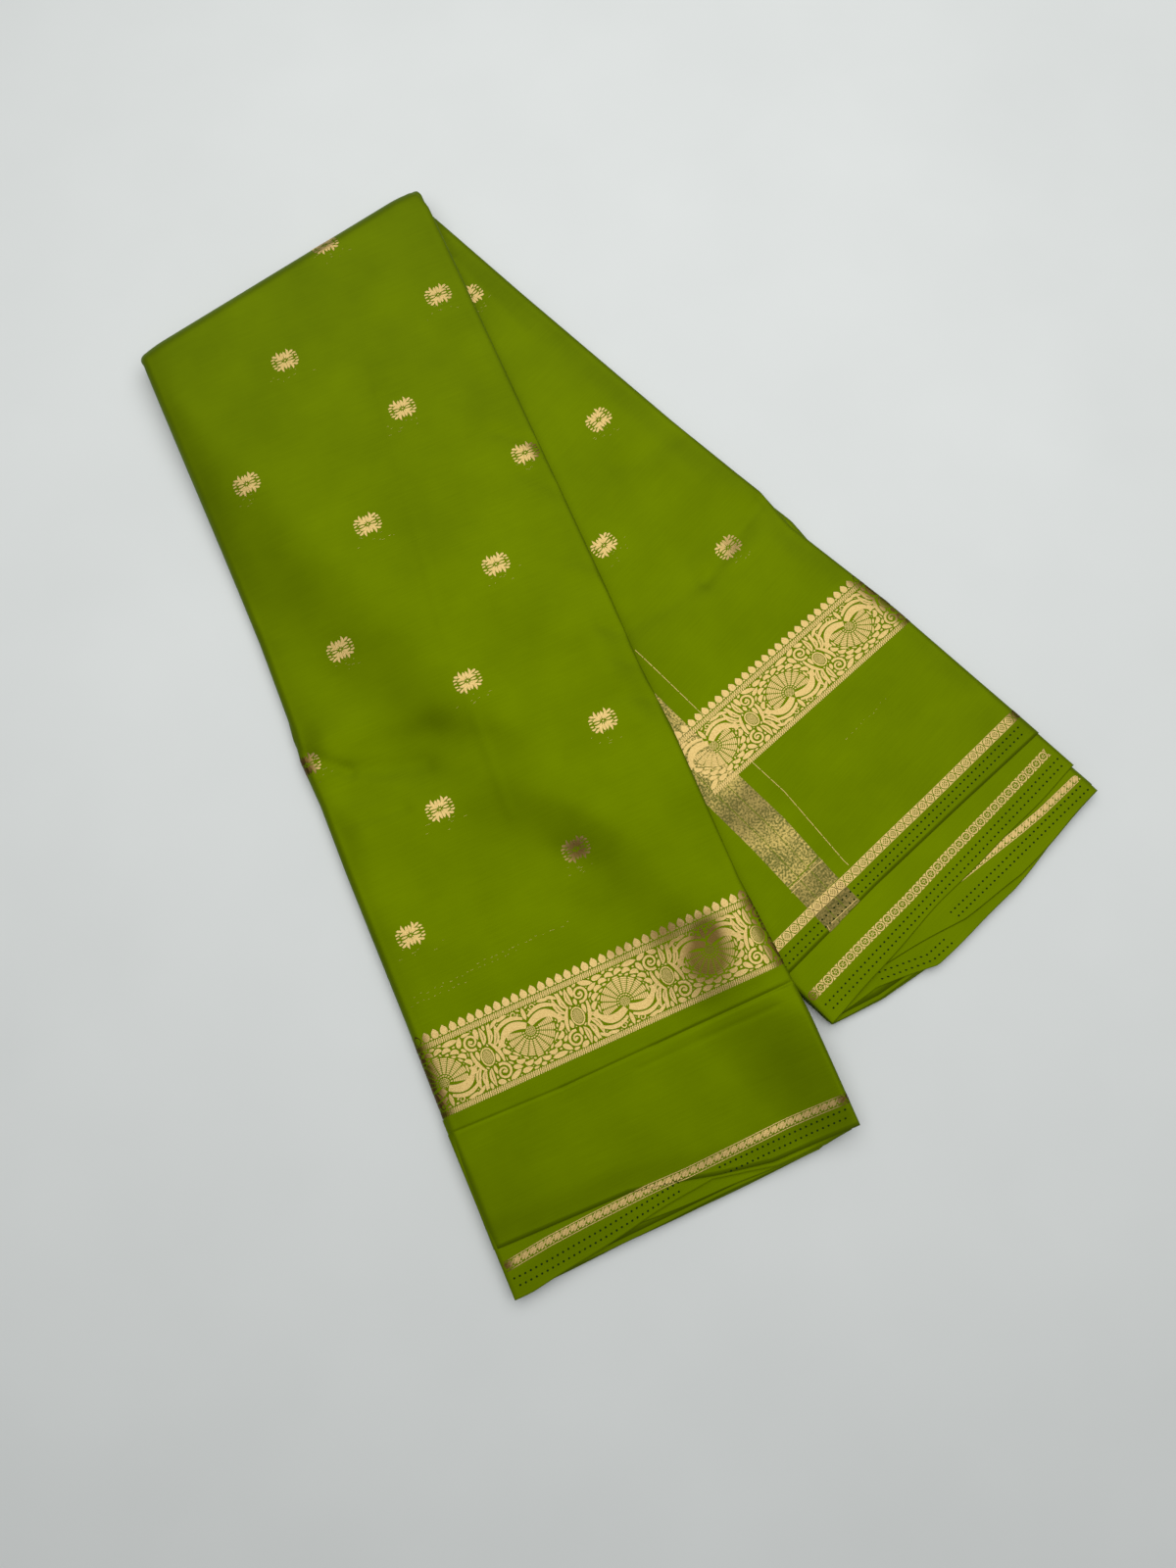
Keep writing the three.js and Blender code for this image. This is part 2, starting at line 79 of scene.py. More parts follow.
# %% Measurements in millimetres
STRIP_WIDTH = 193
LEG_THICKNESS = 9
GAP = 0.3
PLY_STEP = 1.3
UPPER_AXIS_DEG = -66.0
LOWER_AXIS_DEG = -43.9
FOLD_DEG = (UPPER_AXIS_DEG + 180 + LOWER_AXIS_DEG) / 2
FOLD_SLOPE = np.tan(np.radians(FOLD_DEG - UPPER_AXIS_DEG - 90))
FOLD_COSINE = np.cos(np.arctan(FOLD_SLOPE))
FOLD_START = -3.2
FOLD_CORNER = np.array([-273.27, 204.56])
AXIS_HEIGHT = LEG_THICKNESS + GAP
UPPER_BASE = AXIS_HEIGHT + GAP
FOLD_RADIUS = LEG_THICKNESS + GAP
NOSE_REACH = 5
LOBE_REACH = 4
LOBE_HEIGHT = LEG_THICKNESS / 4
SAG_REACH = 58
SIDE_FADE = 14
STEP_FROM, STEP_TO = 452, 464  # where the hidden plies step down under the sheets' ends
RELIEF_RISE = 60  # how far past the head fold the soft folds have their full height
RELIEF_FADE = (436, 476)  # and where they fade again before the ends

# Distance along a leg, then where its left and right sides lie across it.
UPPER_SIDES = np.array(
    [(-38, 1, 190), (-22, 1, 193.5), (20, 0.8, 193.5), (190, 0.8, 192.8), (246, -1, 192.5)]
    + [(262, -3, 192), (290, -2, 191), (330, -3, 192.5), (420, -3.5, 190.5), (500, -5, 194)]
    + [(570, -6, 193.5)]
)
LOWER_SIDES = np.array(
    [(40, -1, 189), (130, -4, 189.5), (250, -4, 191.5), (300, -4, 193.5), (318, -4, 194.5)]
    + [(345, -4, 190.8), (415, -4, 195), (560, -4, 196)]
)

# Ends of the sheets: distance across the leg, then how far the sheet reaches along it.
UPPER_ENDS = {
    "face": [(-5, 542), (70, 544.5), (90, 548.5), (115, 555), (145, 561), (195, 562)],
    "second": [(5, 568), (38, 564.5), (85, 559), (112, 556), (145, 563.5), (195, 562)],
    "third": [(-5, 560), (116, 563), (174, 565), (195, 562.5)],
    "last": [(-5, 567.5), (170, 566), (182, 561), (195, 558)],
}
LOWER_ENDS = {
    "face": [(-5, 515), (68, 517.5), (134, 522), (198, 527)],
    "second": [(-5, 549), (87, 549.5), (198, 553)],
    "third": [(0, 546), (39, 549.5), (89, 565), (128, 571), (198, 572)],
    "fourth": [(0, 549), (28, 555), (60, 571), (120, 573.5), (198, 571)],
    "last": [(-5, 550), (26, 561), (62, 569), (120, 572.5), (198, 570.5)],
}

# Soft folds: from one place to another on the leg, half width, then rise. The first ones are
# the solid model's, and the rest are creases too small for it.
UPPER_FOLDS = [
    ((258, -6), (262, 95), 13, 1.2),
    ((285, 0), (292, 95), 15, -1.7),
    ((310, -6), (316, 70), 13, 1.1),
    ((345, 85), (385, 135), 22, -1.6),
    ((405, 125), (440, 160), 20, -1.4),
    ((40, 150), (110, 192), 16, -1.1),
    ((190, 120), (300, 190), 22, 1.2),
]
LOWER_FOLDS = [
    ((312, 70), (318, 196), 14, -1.5),
    ((350, 90), (352, 190), 16, 0.9),
    ((200, 170), (275, 168), 16, 0.8),
]
UPPER_CREASES = [
    # pinches where the left side buckles as the leg sags
    ((256, -4), (279, 20), 4, -1.0),
    ((279, 20), (292, 60), 6, -0.8),
    ((268, -6), (296, 40), 5, 0.6),
    ((304, -6), (311, 40), 4, -0.7),
    ((311, 40), (305, 90), 8, -0.4),
    # the line pressed down the middle while the saree was stored
    ((20, 131), (79, 120), 2.4, 0.22),
    ((79, 120), (226, 99), 2.4, 0.25),
    ((226, 99), (338, 92), 2.6, 0.2),
    # puckers along the right side
    ((130, 172), (146, 192), 4, -0.6),
    ((160, 176), (178, 193), 5, -0.5),
    ((262, 180), (270, 192), 4, -0.7),
    ((280, 176), (290, 193), 4, -0.6),
    ((302, 172), (312, 193), 4, -0.8),
    ((225, 178), (238, 193), 5, 0.5),
    ((318, 176), (330, 193), 6, 0.5),
    # soft dents and swells of the top sheet
    ((269, 25), (277, 71), 9, -0.5),
    ((277, 71), (305, 106), 10, -0.6),
    ((305, 106), (340, 137), 12, -0.6),
    ((346, 126), (366, 140), 9, 0.7),
    ((368, 108), (384, 124), 10, -0.9),
    ((436, 150), (456, 172), 10, -0.8),
    ((329, 166), (377, 179), 8, -0.6),
    ((377, 179), (410, 187), 8, -0.5),
    ((242, 121), (263, 100), 12, -0.4),
    # lines pressed across, below the border
    ((479.5, -8), (482, 60), 0.8, -0.26),
    ((482, 60), (481.5, 196), 0.8, -0.36),
    ((483, 112), (480.6, 196), 1.2, -0.3),
    ((489.5, 100), (489.5, 180), 1.8, -0.14),
    ((476, 146), (475, 186), 6, -0.4),
]
LOWER_CREASES = [
    ((321, 80), (332, 132), 6, -0.7),
    ((332, 132), (321, 198), 5, -1.0),
    ((338, 150), (340, 196), 5, 0.5),
    ((50, 188), (84, 176), 2.2, 0.4),
    ((84, 176), (150, 172), 4, 0.35),
    ((250, 150), (262, 192), 7, -0.5),
    ((460, 150), (500, 190), 8, -0.45),
    ((470, 100), (500, 96), 6, 0.3),
]


def smooth_step(low, high, x):
    """0 below low and 1 above high, joined by the cubic 3t^2 - 2t^3."""
    t = np.clip((x - low) / (high - low), 0, 1)
    return t * t * (3 - 2 * t)


def unit(degrees):
    """The point of the unit circle at an angle: its cosine, then its sine."""
    angle = np.radians(degrees)
    return np.stack([np.cos(angle), np.sin(angle)], axis=-1)


def fold_heights(folds, u, v):
    """Sum over the folds of rise * exp(-(distance from the fold's line / half width)^2)."""
    total = np.zeros(np.broadcast(u, v).shape)
    for start, end, half_width, rise in folds:
        run = np.subtract(end, start)
        du, dv = u - start[0], v - start[1]
        share = np.clip((du * run[0] + dv * run[1]) / (run @ run), 0, 1)
        distance = np.hypot(du - share * run[0], dv - share * run[1])
        total += rise * np.exp(-((distance / half_width) ** 2))
    return total


# %% [markdown]
# ## From cloth to space
# Every piece below is a function of the same three numbers. One class holds a leg and turns
# them into a point: flat on the leg it is a plain map, and past the head fold the point goes
# round the fold's axis, as a belt goes round a roller.

# %% A leg of the strip
class Leg:
    """One half of the strip: it knows its outline, its soft folds and what it lies on."""

    def __init__(self, axis_deg, sides, folds, creases, up):
        self.along = unit(axis_deg)
        self.across = unit(axis_deg)[::-1] * (-1, 1)
        self.sides, self.folds, self.creases, self.up = sides, folds, creases, up

    def left(self, u):
        return np.interp(u, self.sides[:, 0], self.sides[:, 1])

    def right(self, u):
        return np.interp(u, self.sides[:, 0], self.sides[:, 2])

    def fold_at(self, v):
        """Where the head fold begins: a straight line that leans as it crosses the leg."""
        return FOLD_START + FOLD_RADIUS / FOLD_COSINE - self.up * FOLD_SLOPE * v

    def plan(self, u, v):
        """The corner, plus u along the leg and v across it."""
        return (
            FOLD_CORNER
            + np.multiply.outer(u, self.along)
            + np.multiply.outer(v, self.across)
        )

    def relief(self, u, v):
        """Height of the soft folds, faded at the head, the ends and the rounded sides."""
        fade = smooth_step(0, RELIEF_RISE, u - self.fold_at(v))
        fade = fade * (1 - smooth_step(*RELIEF_FADE, u))
        fade = fade * smooth_step(0, SIDE_FADE, v - self.left(u) - NOSE_REACH)
        fade = fade * smooth_step(0, SIDE_FADE, self.right(u) - LOBE_REACH - v)
        return fade * fold_heights(self.folds, u, v)

    def base(self, u, v):
        """The underside's height: 0, or what the upper leg lies on as it sags to the floor."""
        if self.up < 0:
            return np.zeros(np.broadcast(u, v).shape)
        offset = self.plan(u, v) - FOLD_CORNER
        lower_u, lower_v = offset @ LOWER.along, offset @ LOWER.across
        outside = LOWER.left(lower_u) - lower_v
        carried = 1 - smooth_step(0, SAG_REACH, outside)
        return carried * UPPER_BASE + np.maximum(0, LOWER.relief(lower_u, lower_v))

    def place(self, u, v, h):
        """Points at u along the leg, v across it and h above its underside.

        Before the fold line a point turns round the axis: its angle is its distance past the
        line over the fold's radius, and its reach is its distance from the axis.
        """
        line = self.fold_at(v)
        turn = np.maximum(line - u, 0) * FOLD_COSINE / FOLD_RADIUS
        foot = np.maximum(u, line)
        reach = h + GAP if self.up > 0 else AXIS_HEIGHT - h
        spot = self.plan(foot, v) + np.multiply.outer(reach * np.sin(turn), OUTWARD)
        z = self.base(foot, v) + h + self.relief(foot, v)
        z = z - self.up * reach * (1 - np.cos(turn))
        return np.concatenate([spot, z[..., None]], axis=-1)


OUTWARD = unit(FOLD_DEG + 90)
LOWER = Leg(LOWER_AXIS_DEG, LOWER_SIDES, LOWER_FOLDS, LOWER_CREASES, -1)
UPPER = Leg(UPPER_AXIS_DEG, UPPER_SIDES, UPPER_FOLDS, UPPER_CREASES, 1)
print("head fold turns on a line at", round(FOLD_DEG, 2), "degrees")

# %% [markdown]
# ## The rounded sides
# A folded edge is never a sharp corner: the cloth goes round it in an arc. The left side is
# one nose as thick as the leg. The right side has two lobes, and the top sheet goes round
# the upper one. Here t is measured on the cloth itself, so it runs on round the bends.

# %% Side curves of the top sheet
NOSE_ARC_RADIUS = (NOSE_REACH + LEG_THICKNESS / 2) / 2
LOBE_QUARTER = 5.0  # length of a quarter of the lobe's ellipse
NOSE_TURN = np.radians(166)
LOBE_TURN = np.radians(172)
SHEET_THICKNESS = 0.35
SHOULDER_REACH, SHOULDER_DROP = 13, 0.9  # the cloth leans a little before it turns down
SHOULDER_FADE = (478, 500)  # but not where the sheets end, one over the other
END_DROOP = 0.75  # the free end lies down on the sheets under it
DROOP_REACH = 16


def shoulder(leg, u, v):
    """How far the top lies down beside the rounded sides: by the square of the closeness."""
    inside = np.minimum(v - leg.left(u) - NOSE_REACH, leg.right(u) - LOBE_REACH - v)
    drop = SHOULDER_DROP * np.clip(1 - inside / SHOULDER_REACH, 0, 1) ** 2
    return drop * (1 - smooth_step(*SHOULDER_FADE, u))


def cloth(leg, u, t, end):
    """Points of a leg's top sheet at u along and t across, measured on the cloth.

    Between the sides v is t. Past them the angle is the spare length over the radius, v moves
    out with its sine, and the height goes down with its cosine.
    """
    left, right = leg.left(u) + NOSE_REACH, leg.right(u) - LOBE_REACH
    nose = np.maximum(left - t, 0) / NOSE_ARC_RADIUS
    lobe = np.maximum(t - right, 0) / LOBE_QUARTER * (np.pi / 2)
    v = np.clip(t, left, right) - NOSE_REACH * np.sin(nose) + LOBE_REACH * np.sin(lobe)
    drop = LEG_THICKNESS / 2 * (1 - np.cos(nose)) + LOBE_HEIGHT * (1 - np.cos(lobe))
    h = LEG_THICKNESS - drop
    level = np.cos(np.minimum(nose + lobe, np.pi / 2))
    h = h + level * fold_heights(leg.creases, u, v) * (u > leg.fold_at(v))
    h = h - level * shoulder(leg, u, v)
    h = h - END_DROOP * level * smooth_step(end - DROOP_REACH, end, u)
    return leg.place(u, v, h)


def end_at(table, v):
    """Reads a sheet's end between the rows of its table, along straight lines."""
    across, along = np.transpose(table)
    return np.interp(v, across, along)


# %% [markdown]
# ## Meshes from grids
# Blender takes a mesh as flat arrays. One function turns a grid of points into quads, keeps
# the cloth coordinates as the UV map, in metres, and puts the object at the origin.

# %% Mesh helpers
MM = 0.001
WELD_MM = 0.0005


def grid_quads(rows, columns, ring=False):
    """Corner numbers of the quads of a grid, rows by columns. A ring closes on itself."""
    index = np.arange(rows * columns).reshape(rows, columns)
    if ring:
        index = np.concatenate([index, index[:, :1]], axis=1)
    a, b = index[:-1, :-1], index[:-1, 1:]
    c, d = index[1:, 1:], index[1:, :-1]
    return np.stack([a, b, c, d], axis=-1).reshape(-1, 4)


def make_piece(name, points, quads, material, uv, smooth=True):
    """A mesh object from points in millimetres and quads, riding on the root."""
    mesh = bpy.data.meshes.new(name)
    faces = quads if isinstance(quads, list) else quads.tolist()
    mesh.from_pydata((np.reshape(points, (-1, 3)) * MM).tolist(), [], faces)
    mesh.polygons.foreach_set("use_smooth", np.full(len(quads), smooth))
    layer = mesh.uv_layers.new(name="cloth")
    loops = np.empty(len(mesh.loops), np.int32)
    mesh.loops.foreach_get("vertex_index", loops)
    layer.data.foreach_set("uv", (np.reshape(uv, (-1, 2)) * MM)[loops].ravel())
    mesh.materials.append(material)
    mesh.update()
    piece = bpy.data.objects.new(name, mesh)
    bpy.context.scene.collection.objects.link(piece)
    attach(piece, "root")
    print(name, len(mesh.polygons), "faces")
    return piece


def weld(piece):
    """Joins points that lie on each other, so that a seam is closed, and turns faces outwards."""
    work = bmesh.new()
    work.from_mesh(piece.data)
    bmesh.ops.remove_doubles(work, verts=work.verts, dist=WELD_MM * MM)
    bmesh.ops.recalc_face_normals(work, faces=work.faces)
    work.to_mesh(piece.data)
    work.free()


def solidify(piece, thickness):
    """Gives an open sheet its thickness, inwards from the face."""
    wall = piece.modifiers.new("thickness", "SOLIDIFY")
    wall.thickness = thickness * MM
    wall.offset = -1
    wall.use_even_offset = True


# %% [markdown]
# ## Materials
# Each material starts from the real thing. The colours are the hex values that a colour
# picker shows, turned linear by one function, because shaders work in linear light.

# %% Node helpers
def linear(hex_colour):
    """sRGB hex to linear: below 0.04045 divide by 12.92, else ((c + 0.055) / 1.055) ^ 2.4."""
    srgb = np.array([int(hex_colour[i : i + 2], 16) for i in (1, 3, 5)]) / 255
    value = np.where(srgb <= 0.04045, srgb / 12.92, ((srgb + 0.055) / 1.055) ** 2.4)
    return (*value, 1.0)


def add_node(tree, kind, settings=None, **inputs):
    """Adds a node. Settings are its properties; inputs are values, or sockets to link."""
    node = tree.nodes.new("ShaderNode" + kind)
    for key, value in (settings or {}).items():
        setattr(node, key, value)
    for key, value in inputs.items():
        name = key.replace("_", " ")
        socket = node.inputs[int(key[1:])] if key[1:].isdigit() else node.inputs[name]
        if isinstance(value, bpy.types.NodeSocket):
            tree.links.new(value, socket)
        else:
            socket.default_value = value
    return node


def blend(tree, share, dark, light):
    """Mixes two colours, or sockets that give them, by a share from 0 to 1."""
    node = add_node(tree, "Mix", {"data_type": "RGBA"}, i0=share, i6=dark, i7=light)
    return node.outputs[2]


def noise(tree, place, size_mm, detail=2.0):
    """Noise whose grains are about size_mm wide, on coordinates in metres."""
    node = add_node(tree, "TexNoise", i0=place, Scale=1 / (size_mm * MM), Detail=detail)
    return node.outputs[0]


def new_material(name):
    """A material without nodes, and its tree to fill."""
    material = bpy.data.materials.new(name)
    material.use_nodes = True
    tree = material.node_tree
    tree.nodes.clear()
    return material, tree


def finish_material(tree, shader):
    """Links the shader to the material's output."""
    output = tree.nodes.new("ShaderNodeOutputMaterial")
    tree.links.new(shader.outputs[0], output.inputs["Surface"])


# %% [markdown]
# ### Silk satin
# Mulberry silk, dyed parrot green and woven in satin. Long floats of smooth filament give it
# a soft, wide gloss rather than a sparkle. The real threads are 0.1 mm apart, too fine to
# show, so the weave is drawn as slubs 0.8 mm apart and as slow changes of tone.

# %% Silk satin
SLUB_MM = 0.8
SLUB_STRETCH = 30  # a slub is this many times as long as it is wide
TONE_MM = 45
SLUB_SHARE = 0.35  # how much the slubs add to the slow tone
TONE_RANGE = (0.45, 0.9)  # the sums that give the dark and the light green


def silk_material(name, light, dark, roughness):
    """Satin silk: two greens mixed by a slow noise, with faint slubs along the weft."""
    material, tree = new_material(name)
    uv = add_node(tree, "UVMap", {"uv_map": "cloth"}).outputs[0]
    scale = (1 / (SLUB_MM * SLUB_STRETCH * MM), 1 / (SLUB_MM * MM), 1)
    weft = add_node(tree, "Mapping", i0=uv, Scale=scale)
    slubs = add_node(tree, "TexNoise", i0=weft.outputs[0], Scale=1.0, Detail=3.0)
    share = add_node(
        tree, "Math", {"operation": "MULTIPLY_ADD"},
        i0=slubs.outputs[0], i1=SLUB_SHARE, i2=noise(tree, uv, TONE_MM, 4.0),
    )
    ramp = add_node(
        tree, "MapRange", i0=share.outputs[0], From_Min=TONE_RANGE[0], From_Max=TONE_RANGE[1]
    )
    colour = blend(tree, ramp.outputs[0], linear(dark), linear(light))
    bump = add_node(tree, "Bump", Strength=0.12, Distance=0.0002, Height=slubs.outputs[0])
    shader = add_node(
        tree, "BsdfPrincipled", Base_Color=colour, Roughness=roughness,
        Normal=bump.outputs[0], Metallic=0.4,
    )
    shader.inputs["Specular IOR Level"].default_value = 0.5
    shader.inputs["Specular Tint"].default_value = linear("#B4D200")
    finish_material(tree, shader)
    return material


satin = silk_material("silk satin, parrot green", "#5D6F00", "#526300", 0.46)
hidden = silk_material("silk plies, shaded", "#5B6D00", "#506100", 0.5)
selvedge = silk_material("silk selvedge", "#5F7100", "#566800", 0.46)

# %% [markdown]
# ### Gold zari
# Zari is silk wrapped with a thin strip of gilded metal and woven in as an extra weft, so it
# stands a little proud. Its foil is a bundle of tiny mirrors: bright where it faces the light,
# and dim and brown where it turns away, in a dent or round a folded side. That brown is
# painted shade, mixed in by a piece's attribute from 0 to 1. The grain is 0.6 mm wide,
# coarser than the real thread, so that it shows.

# %% Gold zari
ZARI_GRAIN_MM = 0.6


def with_painted_shade(tree, colour, shade_hex):
    """Mixes a colour towards a brown one by the piece's own attribute: painted shade."""
    painted_shade = add_node(tree, "Attribute", {"attribute_name": "painted_shade"})
    return blend(tree, painted_shade.outputs["Fac"], colour, linear(shade_hex))


def zari_material(name, light, dark, roughness):
    """Gilded thread: a metal whose tone and height change with a fine grain."""
    material, tree = new_material(name)
    place = add_node(tree, "TexCoord").outputs["Object"]
    grain = noise(tree, place, ZARI_GRAIN_MM)
    colour = blend(tree, grain, linear(dark), linear(light))
    # painted shade: the gold goes brown where the attribute says it turns from the light
    colour = with_painted_shade(tree, colour, "#4E3A08")
    bump = add_node(tree, "Bump", Strength=0.5, Distance=0.0001, Height=grain)
    shader = add_node(
        tree, "BsdfPrincipled", Base_Color=colour, Metallic=0.9,
        Roughness=roughness, Normal=bump.outputs[0],
    )
    finish_material(tree, shader)
    return material


gold = zari_material("gold zari", "#D6BC7E", "#8E7130", 0.42)
print("materials:", [m.name for m in bpy.data.materials if m.users])

# %% [markdown]
# ## The outermost sheets
# One sheet shows on each leg. It comes round the rounded left side, crosses the top and goes
# round the upper lobe of the right side. The upper leg's sheet also goes over the head fold.
# A grid that follows the cloth lets the folds and the gold share its coordinates.

# %% Top sheets
NOSE_STEPS, FLAT_STEPS, LOBE_STEPS = 14, 92, 12
SHEET_ROWS = 240
TURN_STEP_DEG = 8
HEAD_TURN_DEG = 157  # how far the upper leg's sheet goes round the head fold
TYPICAL_LENGTH = 540  # of a sheet: by it each row looks up the leg's sides
SHARP_ROWS = np.linspace(0.858, 0.904, 66)  # shares where the pressed lines need fine rows


def cloth_columns(left, right):
    """Cloth distances across: round the nose, level, then round the lobe."""
    nose = np.linspace(NOSE_TURN * NOSE_ARC_RADIUS, 0, NOSE_STEPS, endpoint=False)
    lobe = np.linspace(0, LOBE_TURN / (np.pi / 2) * LOBE_QUARTER, LOBE_STEPS + 1)[1:]
    level = np.linspace(0, 1, FLAT_STEPS + 1)
    start, stop = left[:, None] + NOSE_REACH, right[:, None] - LOBE_REACH
    return np.concatenate([start - nose, start + level * (stop - start), stop + lobe], axis=1)


def top_sheet(name, leg, end_table, turned_to_deg, fine=()):
    """A leg's top sheet: rows run from the fold line to the end, then turn the head fold.

    A row's place is a share s of the way from the fold line to the sheet's end, and before the
    line it is an angle round the fold instead. Fine rows go where a crease is sharp.
    """
    share = np.unique(np.concatenate([np.linspace(0, 1, SHEET_ROWS + 1), fine]))
    steps = int(turned_to_deg / TURN_STEP_DEG)
    turned = np.radians(np.linspace(turned_to_deg, 0, steps, endpoint=False))
    flat_rows = share * TYPICAL_LENGTH + leg.fold_at(STRIP_WIDTH / 2)
    middle = np.concatenate([-turned * FOLD_RADIUS / FOLD_COSINE, flat_rows])
    t = cloth_columns(leg.left(middle), leg.right(middle))
    v = np.clip(t, leg.left(middle)[:, None], leg.right(middle)[:, None])
    line, end = leg.fold_at(v), end_at(end_table, v)
    round_fold = line[: len(turned)] - (turned * FOLD_RADIUS / FOLD_COSINE)[:, None]
    flat = line[len(turned) :] + share[:, None] * (end - line)[len(turned) :]
    u = np.concatenate([round_fold, flat])
    points = cloth(leg, u, t, end)
    uv = np.stack([t, u], axis=-1)
    piece = make_piece(name, points, grid_quads(*t.shape)[:, ::-1], satin, uv)
    solidify(piece, SHEET_THICKNESS)
    return piece


upper_sheet = top_sheet("upper_sheet", UPPER, UPPER_ENDS["face"], HEAD_TURN_DEG, SHARP_ROWS)
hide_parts("upper_leg_face", "head_fold")
lower_sheet = top_sheet("lower_sheet", LOWER, LOWER_ENDS["face"], 0)
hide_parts("lower_leg_face")

# %% [markdown]
# ## The hidden plies
# Thirty-two plies and the air between them make each leg. Only their outsides can be seen:
# the right side's lower lobe, the underside, and the open ends, where each ply's edge is
# a thin rounded line that stops a little short of, or past, its neighbour. There the plies
# step down under the sheets, so the caps have fewer edges than plies.

# %% Hidden plies
PLIES = 32
PLY_MM = LEG_THICKNESS / PLIES
COVER = SHEET_THICKNESS + 0.35  # how far the plies stay inside the sheet's outside
CAP_BACK = 3.0  # how far the cap of ply edges goes back from the end
CAP_FLOOR = 0.05
CAP_INSET = 1.2
EDGE_SPREAD = 1.4  # how unevenly the ply edges stop
EDGE_BULGE = 0.45
SQUARE_BY = 180  # by here the rows have lost the slant of the head fold
END_RUN = 60  # over this length they take up the slant of the end
rng = np.random.default_rng(7)


def plies_ring(left, right, top, floor, tucked):
    """A leg's closed section, right to left over the top and back along the floor.

    Two lobes on the right and one nose on the left, each an ellipse's arc. Every argument is
    a column with one value for each row.
    """
    neck = np.minimum(LEG_THICKNESS / 2 - 0.2, top - 0.6)
    lower, upper = (neck - floor) / 2, np.minimum(LOBE_HEIGHT - COVER, (top - neck) / 2)
    a = np.radians(np.linspace(-90, 78, 12))
    lobe_v = right - LOBE_REACH + LOBE_REACH * 0.95 * np.cos(a)
    lobe_h = floor + lower + lower * np.sin(a)
    b = np.radians(np.linspace(-80, 90, 9))
    reach = np.where(tucked, 0.4, LOBE_REACH - COVER)
    upper_v = right - LOBE_REACH + reach * np.cos(b)
    upper_h = top - upper + upper * np.sin(b)
    share = np.linspace(0, 1, 62)[1:-1]
    top_v = right - LOBE_REACH + share * (left + NOSE_REACH - right + LOBE_REACH)
    top_h = top + 0 * top_v
    c = np.radians(np.linspace(90, 262, 16))
    nose_v = left + NOSE_REACH + (NOSE_REACH - COVER) * np.cos(c)
    half = (top - floor) / 2
    nose_h = floor + half + half * np.sin(c)
    floor_v = left + NOSE_REACH + share * (right - LOBE_REACH - left - NOSE_REACH)
    floor_h = floor + 0 * floor_v
    v = np.concatenate([lobe_v, upper_v, top_v, nose_v, floor_v], axis=1)
    h = np.concatenate([lobe_h, upper_h, top_h, nose_h, floor_h], axis=1)
    return v, h


def ply_noses(top, floor, count):
    """Distance back from the end, and height, down a stack of rounded ply edges.

    Each ply's edge is a half circle, and each stops at its own distance from the end.
    """
    back = rng.uniform(0, EDGE_SPREAD, count)
    arc = np.linspace(0.12, 0.88, 4) * np.pi
    ply = (top - floor) / count
    heights = top - ply * (np.arange(count)[:, None] + (1 - np.cos(arc)) / 2)
    offsets = back[:, None] + EDGE_BULGE * (1 - np.sin(arc))
    return offsets.ravel(), heights.ravel()


def plies(name, leg, end_table, sheets, turned_to_deg):
    """A leg's hidden plies: its section carried along the leg, then a cap of ply edges."""
    ends = end_at(end_table, STRIP_WIDTH / 2)
    turned = -np.linspace(np.radians(turned_to_deg), 0, 12, endpoint=False) * FOLD_RADIUS
    run = np.concatenate([np.linspace(0, STEP_FROM - 20, 150), np.linspace(STEP_FROM - 16, 600, 60)])
    run = run[run < ends - CAP_BACK - 2]
    rows = np.concatenate([turned / FOLD_COSINE, run, [ends - CAP_BACK]])[:, None]
    stepped = smooth_step(STEP_FROM, STEP_TO, rows)
    top = LEG_THICKNESS - COVER - stepped * (PLY_STEP * (1 + sheets) - COVER)
    under = GAP + 0.4 if leg.up < 0 else 0.0
    floor = np.where(rows < 0, under * np.minimum(-rows / 6, 1), 0.0)
    v, h = plies_ring(leg.left(rows), leg.right(rows), top, floor, rows > STEP_FROM)
    squared = smooth_step(0, SQUARE_BY, rows)
    middle_line = leg.fold_at(STRIP_WIDTH / 2)
    u = rows + leg.fold_at(v) * (1 - squared) + middle_line * squared
    near_end = smooth_step(ends - END_RUN, ends - CAP_BACK, rows)
    u = u + near_end * (end_at(end_table, v) - CAP_BACK - (middle_line + rows[-1, 0]))
    pressed = np.minimum(fold_heights(leg.creases, u, v), 0) * (u > leg.fold_at(v))
    pressed = pressed - shoulder(leg, u, v)
    h = h + pressed * np.clip((h - floor) / (top - floor), 0, 1) ** 2
    points = leg.place(u, v, h)
    from_top = 1 - np.clip((h - floor) / (top - floor), 0, 1)
    points[..., 2] -= from_top * leg.relief(np.maximum(u, leg.fold_at(v)), v)
    uv = np.stack([v, u], axis=-1)
    quads = grid_quads(*v.shape, ring=True).tolist()
    first_ring = np.arange(v.shape[1])
    end_faces = [len(quads), len(quads) + 1]
    quads += [first_ring[::-1].tolist(), (v.size - v.shape[1] + first_ring).tolist()]
    cap_points, cap_quads, cap_uv = plies_cap(leg, end_table, top[-1, 0])
    all_points = np.concatenate([points.reshape(-1, 3), cap_points])
    all_quads = quads + (cap_quads + v.size).tolist()
    all_uv = np.concatenate([uv.reshape(-1, 2), cap_uv])
    piece = make_piece(name, all_points, all_quads, hidden, all_uv)
    for face in end_faces:
        piece.data.polygons[face].use_smooth = False
    return piece


